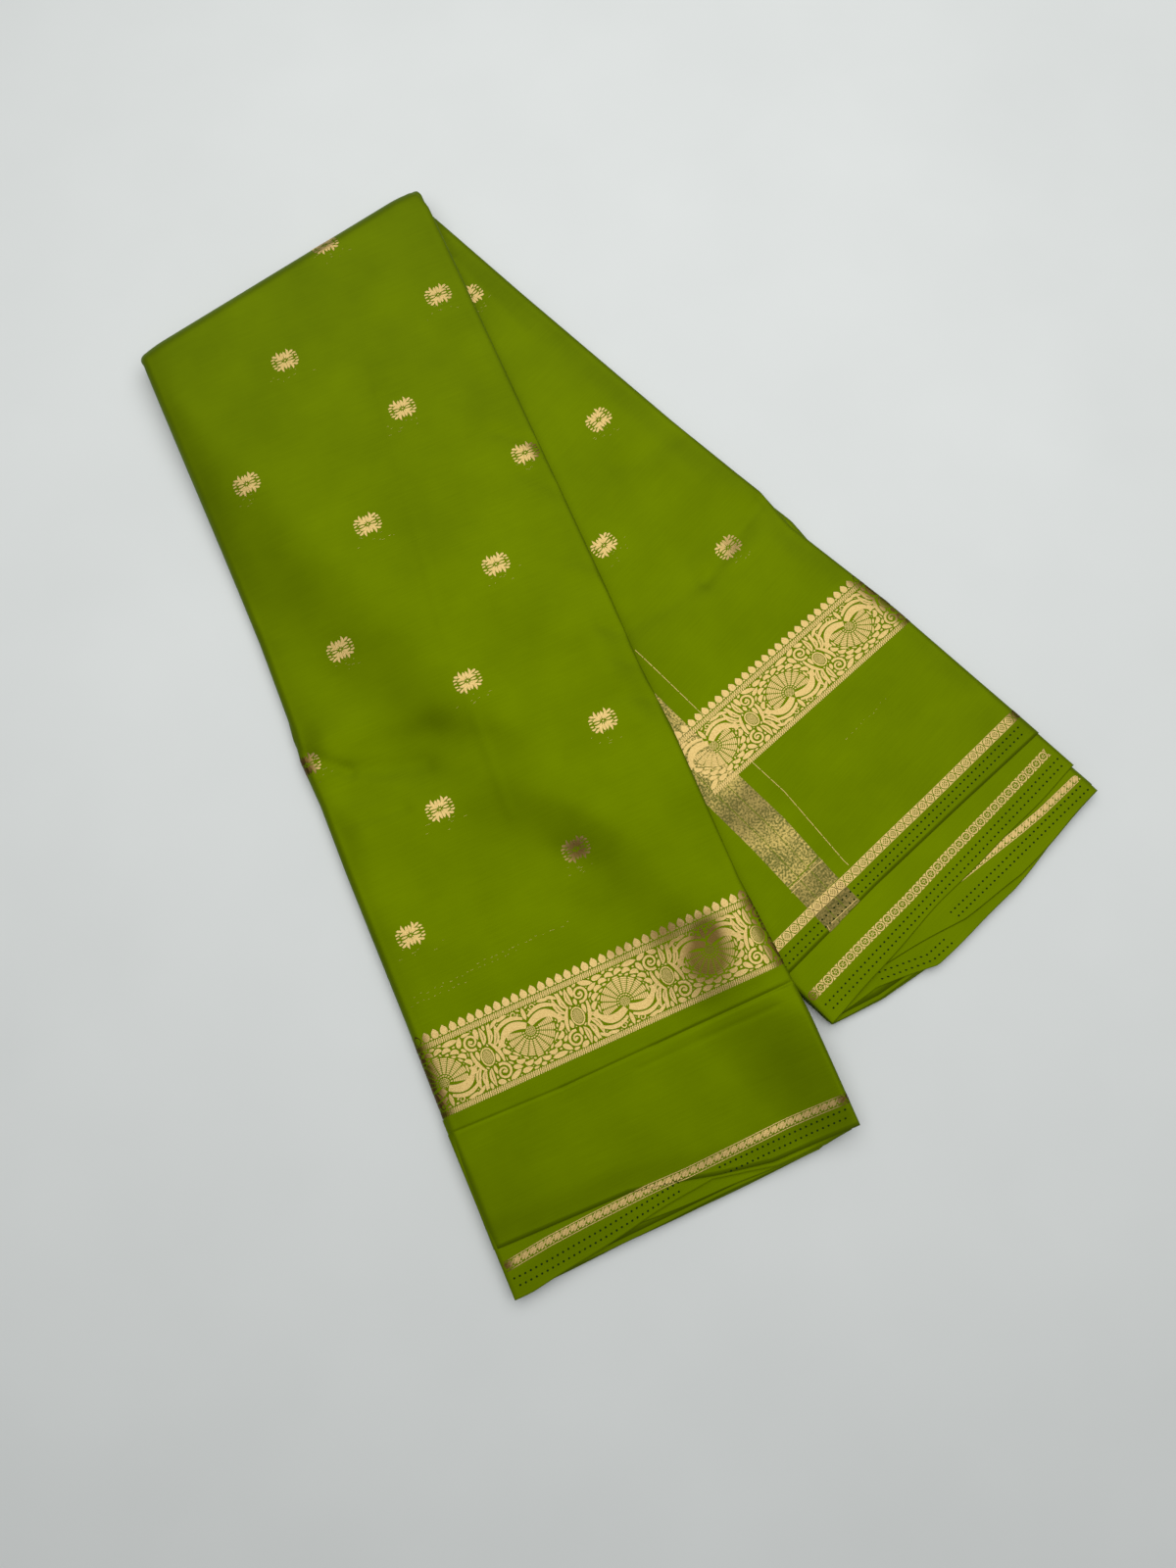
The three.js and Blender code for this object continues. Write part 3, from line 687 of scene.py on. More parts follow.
def plies_cap(leg, end_table, top):
    """The open end: ply edges from the top ply down to the floor, across the whole leg."""
    count = int(round(top / PLY_MM))
    back, heights = ply_noses(top, CAP_FLOOR, count)
    back = np.concatenate([[CAP_BACK, back[0] + 0.3], back, [CAP_BACK]])
    heights = np.concatenate([[top, top], heights, [CAP_FLOOR]])
    u_side = end_at(end_table, 0)
    v = np.linspace(leg.left(u_side) + CAP_INSET, leg.right(u_side) - CAP_INSET, 96)
    wave = 0.35 * np.sin(v / 17 + heights[:, None] * 2.1)
    side = np.minimum(v - v[0], v[-1] - v) / 4
    squeeze = 1 - 0.42 * (1 - np.sqrt(np.clip(1 - (1 - np.minimum(side, 1)) ** 2, 0, 1)))
    h = top / 2 + (heights[:, None] - top / 2) * squeeze
    u = end_at(end_table, v) - back[:, None] + np.where(back[:, None] < CAP_BACK, wave, 0)
    v = np.broadcast_to(v, u.shape)
    points = leg.place(u, v, h)
    quads = grid_quads(*u.shape)
    return points.reshape(-1, 3), quads, np.stack([v, u], axis=-1).reshape(-1, 2)


upper_plies = plies("upper_plies", UPPER, UPPER_ENDS["last"], 2, 88)
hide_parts("upper_leg_layers")
lower_plies = plies("lower_plies", LOWER, LOWER_ENDS["last"], 3, 84)
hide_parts("lower_leg_layers")

# %% [markdown]
# ## Sheets whose selvedges show
# The selvedge is the woven edge that runs the length of the saree. Where the strip ends, a
# few of them stop short of one another and show as thin steps. Each is a profile, a level
# top that lies down to a thin rounded edge, carried across the leg.

# %% Selvedge sheets
SHEET_BACK = 88
SELVEDGE_THICKNESS = 1.0
EDGE_DROOP = 0.45  # how far its top lies down at the edge
INSET_LEFT = 1.0


def selvedge_sheet(name, leg, level, end_table, inset_right):
    """A thin sheet under the top one: its profile carried along its own end line."""
    top = LEG_THICKNESS - level * PLY_STEP
    bottom = top - SELVEDGE_THICKNESS
    back_top = np.array([SHEET_BACK, 60, 40, 24, 16, 11, 7, 4, 2, 0.8])
    height_top = top - EDGE_DROOP * (1 - smooth_step(0, DROOP_REACH, back_top))
    edge_top = height_top[-1]
    nose_back, nose_height = ply_noses(edge_top, bottom, 2)
    back = np.concatenate([back_top, 0.4 * nose_back, back_top[::-1]])
    height = np.concatenate([height_top, nose_height, np.full(len(back_top), bottom)])
    v0 = leg.left(end_at(end_table, 0)) + INSET_LEFT
    v1 = leg.right(end_at(end_table, STRIP_WIDTH)) - inset_right
    v = np.concatenate([[v0, v0 + 0.1], np.linspace(v0 + 0.5, v1 - 0.5, 92), [v1 - 0.1, v1]])
    full = np.minimum(np.minimum(v - v0, v1 - v) / 0.5, 1)
    middle = (edge_top + bottom) / 2
    h = middle + (height[:, None] - middle) * np.sqrt(full)
    wave = 0.5 * np.sin(v / 23 + level) + 0.3 * np.sin(v / 9.1 + 2 * level)
    u = end_at(end_table, v) - back[:, None] + wave * (back[:, None] < 4)
    v = np.broadcast_to(v, u.shape)
    points = leg.place(u, v, h)
    quads = grid_quads(*u.shape[::-1], ring=True)
    points, uv = points.transpose(1, 0, 2), np.stack([v.T, u.T], axis=-1)
    piece = make_piece(name, points, quads, selvedge, uv)
    weld(piece)
    return piece


for level, key in [(1, "second"), (2, "third")]:
    piece = selvedge_sheet(f"upper_edge_{key}", UPPER, level, UPPER_ENDS[key], 4.6)
    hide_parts(f"upper_selvedge_{level + 1}")
for level, key in [(1, "second"), (2, "third"), (3, "fourth")]:
    inset = 1.5 * level - 0.5
    piece = selvedge_sheet(f"lower_edge_{key}", LOWER, level, LOWER_ENDS[key], inset)
    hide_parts(f"lower_selvedge_{level + 1}")

# %% [markdown]
# ## Woven gold: one stroke for everything
# A zari motif is woven as floats of gold thread, so it is drawn here as a weaver plans it:
# in strokes. Petals, leaves, dots, tendrils and ropes are all one shape, a band along a path
# whose half width may change, with its edges sunk in the cloth and its top a little proud.
# The designs are traditional ones drawn afresh: a flower sprig, a scroll border with opening
# fans, a row of temple points, and narrow chains. None is copied from the photograph.

# %% Strokes
RAISED_MM, SUNK_MM, BEVEL_MM = 0.07, -0.1, 0.08
STACK_MM = 0.05  # where strokes cross, each lies at its own height within this


def stroke(path, half_width):
    """Four lines beside a path: two at its half width, sunk, and two a bevel inside, raised."""
    path = np.asarray(path, float)
    run = np.gradient(path, axis=0)
    side = np.stack([-run[:, 1], run[:, 0]], 1) / np.hypot(*run.T)[:, None]
    width = np.broadcast_to(half_width, len(path))
    inner = width - np.minimum(0.3 * width, BEVEL_MM)
    reach = np.stack([-width, -inner, inner, width], axis=1)
    flat = path[:, None] + side[:, None] * reach[..., None]
    lift = np.broadcast_to([SUNK_MM, RAISED_MM, RAISED_MM, SUNK_MM], flat.shape[:2])
    return np.concatenate([flat, lift[..., None]], axis=2)


def bend(start, pull, stop, count=7):
    """A curve from start to stop that leans towards pull: the quadratic Bezier formula."""
    s = np.linspace(0, 1, count)[:, None]
    start, pull, stop = (np.asarray(p, float) for p in (start, pull, stop))
    return (1 - s) ** 2 * start + 2 * s * (1 - s) * pull + s**2 * stop


def round_path(centre, radius, from_deg, to_deg, count, stop_radius=None):
    """An arc about a centre, or a spiral if the radius changes on the way."""
    reach = np.linspace(radius, radius if stop_radius is None else stop_radius, count)
    return np.add(centre, reach[:, None] * unit(np.linspace(from_deg, to_deg, count)))


def petal(start, pull, stop, half_width, fullest=0.5):
    """A stroke that swells from nothing to half_width and back: a leaf or a petal."""
    path = bend(start, pull, stop)
    s = np.linspace(0, 1, len(path)) ** (np.log(0.5) / np.log(fullest))
    width = half_width * np.sqrt(np.clip(np.sin(np.pi * s), 0, 1)) + 0.06
    return stroke(path, width)


def horn(start, pull, stop, half_width, part, power, count):
    """A curved stroke whose half width is a power of the sine over a part of its arch."""
    arch = np.sin(np.linspace(*part, count) * np.pi) ** power
    return stroke(bend(start, pull, stop, count), half_width * arch + 0.1)


def leaf(start, pull, stop, half_width):
    """Two half leaves with a dark vein between them."""
    start, pull, stop = (np.asarray(p, float) for p in (start, pull, stop))
    run = stop - start
    side = np.array([-run[1], run[0]]) / np.hypot(*run) * half_width * 0.56
    return [
        petal(start, pull + side * 1.6, stop, half_width * 0.44),
        petal(start, pull - side * 1.6, stop, half_width * 0.44),
    ]


def dot(x, y, radius):
    """A round spot: a stroke across it whose half width is the circle's."""
    s = np.array([-0.97, -0.7, 0, 0.7, 0.97])
    path = np.stack([x + s * radius, np.full(5, float(y))], 1)
    return stroke(path, radius * np.sqrt(1 - s**2) + 0.02)


def tendril(centre, radius, from_deg, turns, half_width, count=15):
    """A spiral that tightens to 0.22 of its radius and thins on the way."""
    path = round_path(centre, radius, from_deg, from_deg + 360 * turns, count, radius * 0.22)
    return stroke(path, np.linspace(half_width, half_width * 0.6, count))


def mesh_fill(x, y, half_x, half_y, pitch, half_width):
    """Crossed threads that fill an oval: chords along both diagonals of a circle, stretched."""
    strokes = []
    for lean in (1, -1):
        along, across = np.array([1, lean]) / np.sqrt(2), np.array([1, -lean]) / np.sqrt(2)
        for offset in np.arange(-0.85, 0.9, pitch / max(half_x, half_y)):
            chord = np.linspace(-1, 1, 4)[:, None] * np.sqrt(1 - offset**2) * along
            path = (x, y) + (chord + offset * across) * (half_x, half_y)
            strokes.append(stroke(path, half_width))
    return strokes


def thinned(strokes, by):
    """Strokes that lose some half width, so that more of the ground shows between them."""
    slim = []
    for s in strokes:
        middle = s[:, 1:3, :2].mean(1, keepdims=True)
        half = np.linalg.norm(s[:, 0, :2] - s[:, 3, :2], axis=1)[:, None, None] / 2
        share = np.clip(1 - by / np.maximum(half, 0.01), 0.6, 1)
        flat = middle + (s[..., :2] - middle) * share
        slim.append(np.concatenate([flat, s[..., 2:]], axis=2))
    return slim


def turned(strokes, x=0.0, y=0.0, degrees=0.0, scale=(1, 1)):
    """Copies of strokes, scaled, turned about the origin, then moved to x, y."""
    a = np.radians(degrees)
    turn = np.array([[np.cos(a), np.sin(a)], [-np.sin(a), np.cos(a)]])
    moved = []
    for s in strokes:
        flat = (s[..., :2] * scale) @ turn + (x, y)
        moved.append(np.concatenate([flat, s[..., 2:]], axis=-1))
    return moved


# %% [markdown]
# ### Laying strokes on the cloth
# The strokes are drawn flat. Each point is then looked up on the sheet, and lifted along the
# sheet's own normal, found from two small steps along and across the cloth.

# %% Strokes on a sheet
NUDGE_MM = 0.05
SIDE_SHADE = (-1.5, 4.5)  # how far in from a rounded side the gold has the most painted shade, and none


def top_surface(leg, end_table):
    """The top sheet of a leg as a function of u and t."""
    def surface(u, t):
        v = np.clip(t, leg.left(u), leg.right(u))
        return cloth(leg, u, t, end_at(end_table, v))
    return surface


def edge_surface(leg, level, end_table):
    """The top of a selvedge sheet as a function of u and t."""
    def surface(u, t):
        back = end_at(end_table, t) - u
        top = LEG_THICKNESS - level * PLY_STEP
        return leg.place(u, t, top - EDGE_DROOP * (1 - smooth_step(0, DROOP_REACH, back)))
    return surface


def held_to(strokes, end_table):
    """Strokes that would pass the sheet's end are pressed back to it, or dropped if past it."""
    laid = []
    for s in strokes:
        s = s.copy()
        s[..., 1] = np.minimum(s[..., 1], end_at(end_table, s[..., 0]) - 0.2)
        if np.ptp(s[..., 1]) > 0.3:
            laid.append(s)
    return laid


# Where the gold gets painted shade, in dents that turn from the light: distance along and across,
# radius, then how much.
UPPER_GOLD_SHADE = [
    (452, 157, 14, 1.1), (437, 163, 9, 0.8), (430, 142, 11, 0.7),
    (370, 118, 10, 0.9), (426, 116, 9, 0.4),
]
LOWER_GOLD_SHADE = [(328, 160, 7, 0.45)]


def gold_shade(leg, spots=()):
    """How much painted shade the gold gets at u and t: a bell curve about each spot, and most at the
    sides.
    """
    def wear(u, t):
        total = sum(
            most * np.exp(-(((u - along) ** 2 + (t - across) ** 2) / radius**2) ** 1.5)
            for along, across, radius, most in spots
        )
        inside = np.minimum(t - leg.left(u) - NOSE_REACH, leg.right(u) - LOBE_REACH - t)
        return np.maximum(np.minimum(total, 0.9), 0.95 - 0.95 * smooth_step(*SIDE_SHADE, inside))
    return wear


def lay_strokes(name, strokes, surface, material, height=0.0, painted_shade=None):
    """Joins strokes to one mesh and lays it on a sheet; x runs across the leg, y along it.

    The piece's attribute says how much painted shade it gets, from a function of u and t.
    """
    flat = np.concatenate([s.reshape(-1, 3) for s in strokes])
    order = np.repeat(np.arange(len(strokes)), [s.size // 3 for s in strokes])
    flat[:, 2] += height + STACK_MM * (order * 0.618 % 1)
    counts = [s.shape[0] for s in strokes]
    starts = np.cumsum([0] + [4 * n for n in counts[:-1]])
    quads = np.concatenate([grid_quads(n, 4) + first for n, first in zip(counts, starts)])
    corner = flat[quads][..., :2]
    a, b = corner[:, 2] - corner[:, 0], corner[:, 3] - corner[:, 1]
    wrong = a[:, 0] * b[:, 1] - a[:, 1] * b[:, 0] > 0
    quads[wrong] = quads[wrong][:, ::-1]
    t, u, lift = flat.T
    here = surface(u, t)
    normal = np.cross(surface(u + NUDGE_MM, t) - here, surface(u, t + NUDGE_MM) - here)
    normal /= np.linalg.norm(normal, axis=1)[:, None]
    points = here + normal * lift[:, None]
    piece = make_piece(name, points, quads, material, flat[:, :2], smooth=False)
    if painted_shade:
        layer = piece.data.attributes.new("painted_shade", "FLOAT", "POINT")
        layer.data.foreach_set("value", painted_shade(u, t).astype(np.float32))
    return piece


# %% [markdown]
# ### Sprigs
# The field is sprinkled with sprigs, about 16 mm wide, in half drop: every second column
# is shifted by half a step. Each has an eye with a petal on either side, and four quarters
# of six petals that mirror one another.

# %% Sprigs
def sprig_strokes():
    """One sprig about the origin: an eye, two side petals, and four quarters of six petals."""
    quarter = [
        petal((0.5, 1.0), (1.2, 3.2), (0.75, 5.9), 0.95, 0.55),
        petal((1.3, 1.7), (3.9, 3.2), (3.1, 7.2), 0.95, 0.45),
        petal((1.1, 0.7), (3.2, 2.9), (5.9, 1.5), 0.85),
        petal((3.6, 3.2), (5.1, 4.6), (6.9, 4.9), 0.8, 0.6),
        petal((5.3, 2.6), (6.9, 3.3), (8.2, 2.7), 0.62, 0.55),
        petal((6.2, 1.0), (7.3, 1.4), (8.4, 0.8), 0.5, 0.55),
    ]
    strokes = [dot(0, 0, 0.6)]
    for flip_x in (1, -1):
        strokes.append(petal((flip_x * 1.8, 0), (flip_x * 3.6, 0), (flip_x * 5.7, 0), 0.62))
        for flip_y in (1, -1):
            strokes += turned(quarter, scale=(flip_x, flip_y))
    return strokes


SPRIG = thinned(turned(sprig_strokes(), scale=(0.95, 0.95)), 0.04)
UPPER_SPRIGS = [
    (127.5, -22.6), (176, 36), (78, 39), (129, 95), (30, 102), (183, 149), (84, 153), (141, 205),
    (42, 213), (100, 261), (159, 312), (0, 266), (58, 319), (117, 370), (17, 376),
]
LOWER_SPRIGS = [(166, 109), (161, 220), (107, 276), (156, 328)]
print(len(SPRIG), "strokes in a sprig")

# %% [markdown]
# ### The wide border
# Between twin ropes runs a scroll: fans that open to one edge and then to the other, each
# held by two horns, with tendrils and leaves that wind round an oval fruit between them.
# On the field side stands a row of temple points with a bead between each two.

# %% Border scroll
FAN_STEP = 52.0
BORDER_HALF = 19.5
SCROLL_HALF = 16.6
BUD_GRID, BUD_MOST, BUD_LEAST, BUD_LONGEST = 0.3, 1.9, 0.62, 4.8
BUD_STEP, BUD_COUNT = 0.4, 900
THREAD_GAP = 0.3  # the green line left between two strokes
PETAL_DEG, PETAL_REACH = 19.2, 13.9


def fan_strokes():
    """A fan that opens to -y: hatched petals on rays, a garland round them, and two horns."""
    strokes = []
    centre = np.array([0.0, 3.4])
    for degrees in np.arange(270 - 5 * PETAL_DEG, 271 + 5 * PETAL_DEG, PETAL_DEG):
        ray = unit(degrees)
        across = ray[::-1] * (-1, 1)
        end = PETAL_REACH - abs(degrees - 270) / 90
        for reach in np.arange(5.3, end, 1.05):
            half = reach * np.tan(np.radians(PETAL_DEG / 2)) - 0.26
            half *= np.sqrt(1 - max(0, (reach - end + 2.0) / 2.9) ** 2)
            bar = centre + reach * ray + np.array([[-half], [0], [half]]) * across
            strokes.append(stroke(bar, [0.6, 0.66, 0.6]))
    for degrees in np.linspace(176, 364, 10):
        strokes.append(dot(*(centre + 3.9 * unit(degrees)), 0.62))
    strokes += mesh_fill(centre[0], centre[1] - 0.3, 2.8, 2.6, 0.9, 0.27)
    for degrees in np.arange(279, 372, 16):
        rays = unit([degrees - 8, degrees, degrees + 8.5])
        start, pull, stop = centre + rays * np.array([[14.9], [18.4], [16.6]])
        garland = petal(start, pull, stop, 1.45, 0.45)
        strokes += [garland, *turned([garland], scale=(-1, 1))]
    side = [
        horn((1.0, 6.4), (11.4, 12.6), (16.4, 3.2), 2.4, (0.2, 0.94), 0.7, 13),
        horn((1.5, 10.6), (10.6, 16.6), (18.9, 8.2), 1.25, (0.14, 0.95), 0.6, 13),
        tendril((5.2, 14.4), 2.2, 190, 1.2, 0.7),
        petal((8.6, 15.6), (11.8, 15.8), (14.8, 14.4), 1.15),
        petal((13.4, 15.9), (16.9, 15.2), (19.2, 12.6), 1.15),
        petal((18.9, 15.8), (20.9, 13.2), (20.4, 9.8), 1.15),
    ]
    strokes += side + turned(side, scale=(-1, 1))
    strokes.append(petal((0, 9.2), (0.1, 12.4), (0, 16.2), 1.3))
    return strokes


def fruit_strokes():
    """Half of what winds round a fruit; turned half round it makes the other half."""
    strokes = [tendril((-5.2, -10.4), 4.4, 70, 1.5, 1.0, 21), dot(-5.2, -10.4, 1.0)]
    strokes.append(horn((-7.4, -5.6), (-7.6, 1.4), (-3.0, 6.6), 1.15, (0.12, 0.95), 0.6, 9))
    for start, pull, stop, width in (
        ((0.4, -6.2), (2.6, -9.6), (1.2, -16.0), 1.8),
        ((3.0, -5.4), (6.8, -8.6), (5.4, -15.8), 1.8),
        ((4.6, -3.4), (9.8, -5.8), (9.4, -14.6), 1.8),
        ((5.0, -1.0), (10.6, -2.0), (12.4, -9.0), 1.6),
    ):
        strokes += leaf(start, pull, stop, width)
    return strokes


def fill_gaps(strokes, low, high, half_height):
    """Buds for the ground between strokes, as a weaver fills it.

    The free distance to the nearest stroke is kept on a grid. The freest place gets a bud
    that lies along the longest free line there, and its distance is then taken off.
    """
    x, y = np.arange(low, high, BUD_GRID), np.arange(-half_height, half_height, BUD_GRID)
    grid_x, grid_y = np.meshgrid(x, y, indexing="ij")
    free = np.minimum(half_height - np.abs(grid_y), BUD_MOST)

    def take(middle, radius):
        near = slice(*np.searchsorted(x, [middle[:, 0].min() - 5, middle[:, 0].max() + 5]))
        gap = np.hypot(
            grid_x[near, :, None] - middle[:, 0], grid_y[near, :, None] - middle[:, 1]
        )
        free[near] = np.minimum(free[near], (gap - radius).min(-1))

    for s in strokes:
        between = np.concatenate([s[..., :2], (s[1:, :, :2] + s[:-1, :, :2]) / 2])
        take(between[:, 1:3].mean(1), np.hypot(*(between[:, 0] - between[:, 3]).T) / 2)
    buds = []
    rays = unit(np.arange(0, 180, 22.5))
    reach = np.arange(BUD_STEP, BUD_LONGEST, BUD_STEP)
    while free.max() > BUD_LEAST and len(buds) < BUD_COUNT:
        i, j = np.unravel_index(np.argmax(free), free.shape)
        spot, radius = np.array([x[i], y[j]]), free[i, j] - THREAD_GAP
        lengths = []
        for sign in (1, -1):
            path = spot + sign * reach[None, :, None] * rays[:, None]
            a = np.clip(((path[..., 0] - low) / BUD_GRID).round().astype(int), 0, len(x) - 1)
            b = np.clip(((path[..., 1] + half_height) / BUD_GRID).round().astype(int), 0, len(y) - 1)
            open_way = np.cumprod(free[a, b] > THREAD_GAP + 0.25, axis=1)
            lengths.append(open_way.sum(1) * BUD_STEP)
        best = np.argmax(lengths[0] + lengths[1])
        start = spot - rays[best] * max(lengths[1][best], radius)
        stop = spot + rays[best] * max(lengths[0][best], radius)
        bud = petal(start, spot, stop, radius)
        buds.append(bud)
        take(bud[:, 1:3, :2].mean(1), np.hypot(*(bud[:, 0, :2] - bud[:, 3, :2]).T) / 2)
    return buds


def scroll_strokes(width):
    """The whole scroll: fans FAN_STEP apart, every second one turned over, fruits between."""
    fan, half = fan_strokes(), fruit_strokes()
    oval = [stroke(round_path((0, 0), 3.3, 0, 360, 15) * (1, 1.42), 0.6)]
    fruit = oval + mesh_fill(0, 0, 2.6, 3.8, 0.8, 0.24) + half + turned(half, degrees=180)
    strokes = []
    for k in range(-1, int(width / FAN_STEP) + 2):
        over = 180 if k % 2 else 0
        strokes += turned(fan, x=k * FAN_STEP + 16, degrees=over)
        strokes += turned(fruit, x=(k + 0.5) * FAN_STEP + 16, scale=(1, -1 if k % 2 else 1))
    strokes = within(strokes, -16, width + 14)
    return thinned(strokes + fill_gaps(strokes, -16, width + 14, SCROLL_HALF), 0.17)


def rope_strokes(width, y, pitch=1.3, half_width=0.42, length=1.5):
    """Slanted stitches side by side, so that two threads seem twisted."""
    strokes = []
    for x in np.arange(-14, width + 10, pitch):
        path = bend((x, y + length / 2), (x + 0.5, y), (x + 1.0, y - length / 2), 3)
        strokes.append(stroke(path, half_width))
    return strokes


def temple_strokes(width, y, pitch=5.1):
    """Temple points: rounded spades, with a bead at the foot of each gap."""
    strokes = []
    for x in np.arange(-14 + pitch / 2, width + 10, pitch):
        spade = np.stack([np.full(7, x), y - np.array([0.5, 1.2, 2.2, 3.2, 4.1, 4.9, 5.6])], 1)
        strokes.append(stroke(spade, [1.1, 1.75, 2.1, 2.05, 1.6, 0.85, 0.15]))
        strokes.append(dot(x + pitch / 2, y - 1.0, 0.62))
    return strokes


def border_strokes(width, start_x):
    """The border about y = 0: scroll, twin ropes at both edges, temple points at -y."""
    strokes = turned(scroll_strokes(width), x=start_x)
    for y in (-BORDER_HALF + 0.8, -BORDER_HALF + 2.2, BORDER_HALF - 2.2, BORDER_HALF - 0.8):
        strokes += rope_strokes(width, y)
    return strokes + temple_strokes(width, -BORDER_HALF)


def slanted(strokes, middle, slope, height):
    """Lays strokes drawn about y = 0 at a distance along the leg, scaled and on a slant."""
    laid = []
    for s in strokes:
        x, y = s[..., 0], s[..., 1]
        laid.append(np.stack([x, middle + slope * (x - STRIP_WIDTH / 2) + y * height, s[..., 2]], -1))
    return laid


def within(strokes, low, high):
    """Only the strokes whose middle lies between two distances across the leg."""
    return [s for s in strokes if low <= s[..., 0].mean() <= high]


# %% [markdown]
# ### Narrow lines
# Near the selvedge run narrow woven lines. On the lower leg they are round medallions of
# crossed threads on the top ply, a chain of rings on the next and a chain of leaves on the
# inner one. The two on the upper leg are chains of leaves.

# %% Narrow line strokes
def darts(x, y, reaches, half_widths):
    """Two strokes that lead away from x, y along the leg, one each way."""
    return [stroke([(x, y + side * r) for r in reaches], half_widths) for side in (1, -1)]


def medallion_strokes(low, high, y, half=2.6, pitch=5.8):
    """Round medallions of crossed threads with darts between them, and two edge threads."""
    strokes = thread_pair(low, high, y, half, 0.2)
    for x in np.arange(low + pitch / 2, high, pitch):
        strokes.append(stroke(round_path((x, y), 2.05, 0, 372, 13), 0.42))
        strokes += mesh_fill(x, y, 1.7, 1.7, 1.0, 0.26)
        strokes += darts(x + pitch / 2, y, (0.3, 1.4, 2.5), (0.15, 0.5, 1.2))
    return strokes


def thread_pair(low, high, y, half, half_width):
    """The two threads along the edges of a narrow line, in pieces that can follow a curve."""
    strokes = []
    for side in (-half, half):
        for x in np.arange(low, high, 8.0):
            stop = min(x + 8.2, high)
            path = bend((x, y + side), ((x + stop) / 2, y + side), (stop, y + side), 5)
            strokes.append(stroke(path, half_width))
    return strokes


def ring_strokes(low, high, y, radius=2.3, pitch=5.8):
    """A chain of rings, each with an eye and six seeds, and darts in the gaps at the edges."""
    strokes = []
    for x in np.arange(low + pitch / 2, high, pitch):
        strokes.append(stroke(round_path((x, y), radius, 0, 372, 18), 0.42))
        strokes.append(stroke(round_path((x, y), 0.62, 0, 390, 10), 0.3))
        for degrees in np.arange(30, 390, 60):
            strokes.append(dot(*((x, y) + 1.45 * unit(degrees)), 0.28))
        strokes += darts(x + pitch / 2, y, (0.9, 1.7, 2.6), (0.15, 0.45, 1.1))
    return strokes


def leaf_line_strokes(low, high, y, half=2.4, pitch=4.7):
    """A chain of slanted leaves between two edge threads."""
    strokes = thread_pair(low, high, y, half, 0.28)
    for x in np.arange(low + pitch / 2, high, pitch):
        strokes.append(petal((x - 2.1, y + 1.3), (x - 1.0, y - 0.9), (x + 1.6, y - 1.5), 0.95))
        strokes.append(petal((x - 0.9, y + 1.6), (x + 0.8, y + 0.6), (x + 2.0, y - 0.9), 0.62))
        strokes.append(petal((x - 2.6, y + 0.2), (x - 2.5, y - 1.5), (x - 0.9, y - 1.8), 0.4))
        strokes.append(dot(x + 1.6, y + 1.4, 0.5))
    return strokes


HOLE_RADIUS, HOLE_ROW_GAP = 0.6, 4.2


def hole_strokes(low, high, y, pitch=3.1):
    """Two rows of pin holes, from the frame that stretched the cloth after weaving."""
    strokes = []
    for row, shift in ((0.0, 0.0), (HOLE_ROW_GAP, pitch / 2)):
        for x in np.arange(low + shift, high, pitch):
            strokes.append(dot(x, y + row, HOLE_RADIUS))
    return strokes


def follow(strokes, line):
    """Shifts strokes along the leg by a line given as distances across and along."""
    laid = []
    for s in strokes:
        x, y = s[..., 0], s[..., 1]
        laid.append(np.stack([x, y + end_at(line, x), s[..., 2]], -1))
    return laid


# %% [markdown]
# ### Loose floats
# On the back of the cloth the gold thread runs on between the motifs and is cut off. Here
# and there an end of it shows through as a short bright fleck.

# %% Flecks
def flecks(sprigs, rows):
    """Short thin stitches: nine below each sprig, and more in rows across the leg."""
    strokes = []

    def fleck(x, y, length):
        path = [(x - length / 2, y), (x, y + 0.05), (x + length / 2, y)]
        strokes.append(stroke(path, 0.06))

    for x, y in sprigs:
        for dx, dy, length in zip(
            rng.normal(0, 6, 9), rng.uniform(5, 13, 9), rng.uniform(0.6, 1.8, 9)
        ):
            fleck(x + dx, y + dy, length)
    for y, low, high in rows:
        for x in np.arange(low, high, 3.4):
            fleck(x + rng.uniform(0, 2.4), y + rng.normal(0, 0.5), rng.uniform(0.5, 1.7))
    return strokes


# %% [markdown]
# ### Gold of the upper leg
# The designs are now set out by distance across and along the leg: sprigs over the field,
# the border square across it, and a narrow line beside two of the selvedges. The flecks
# draw from the seeded random numbers, so the order of these cells matters.

# %% Gold of the upper leg
upper_top = top_surface(UPPER, UPPER_ENDS["face"])
upper_gold = [s for x, y in UPPER_SPRIGS for s in turned(SPRIG, x=x, y=y)]
upper_gold += within(slanted(border_strokes(206, -12), 451.6, 0.0, 1.0), -7, 197)
upper_line = [(70, 547.4), (79, 547.0), (102, 547.6), (136, 546.8), (159, 546.2), (197, 546.6)]
upper_gold += held_to(follow(leaf_line_strokes(70, 197, 0), upper_line), UPPER_ENDS["face"])
upper_gold += flecks(UPPER_SPRIGS, [(411, 2, 34), (407, 6, 66), (404.5, 44, 98)])
lay_strokes("upper_zari", upper_gold, upper_top, gold, painted_shade=gold_shade(UPPER, UPPER_GOLD_SHADE))
second_line = [(-6, 552), (0, 551.5), (23, 549.2), (46, 548.2), (79, 547.2), (112, 547.2)]
lay_strokes(
    "upper_edge_zari", follow(leaf_line_strokes(-3, 111, 0), second_line),
    edge_surface(UPPER, 1, UPPER_ENDS["second"]), gold, painted_shade=gold_shade(UPPER),
)

# %% [markdown]
# ### Gold of the lower leg
# Less of this leg shows, so it needs four sprigs and the free part of the border, which
# leans a little here. A dashed thread runs beside the cross strip, and a few short rows of
# gold cross it near its end.

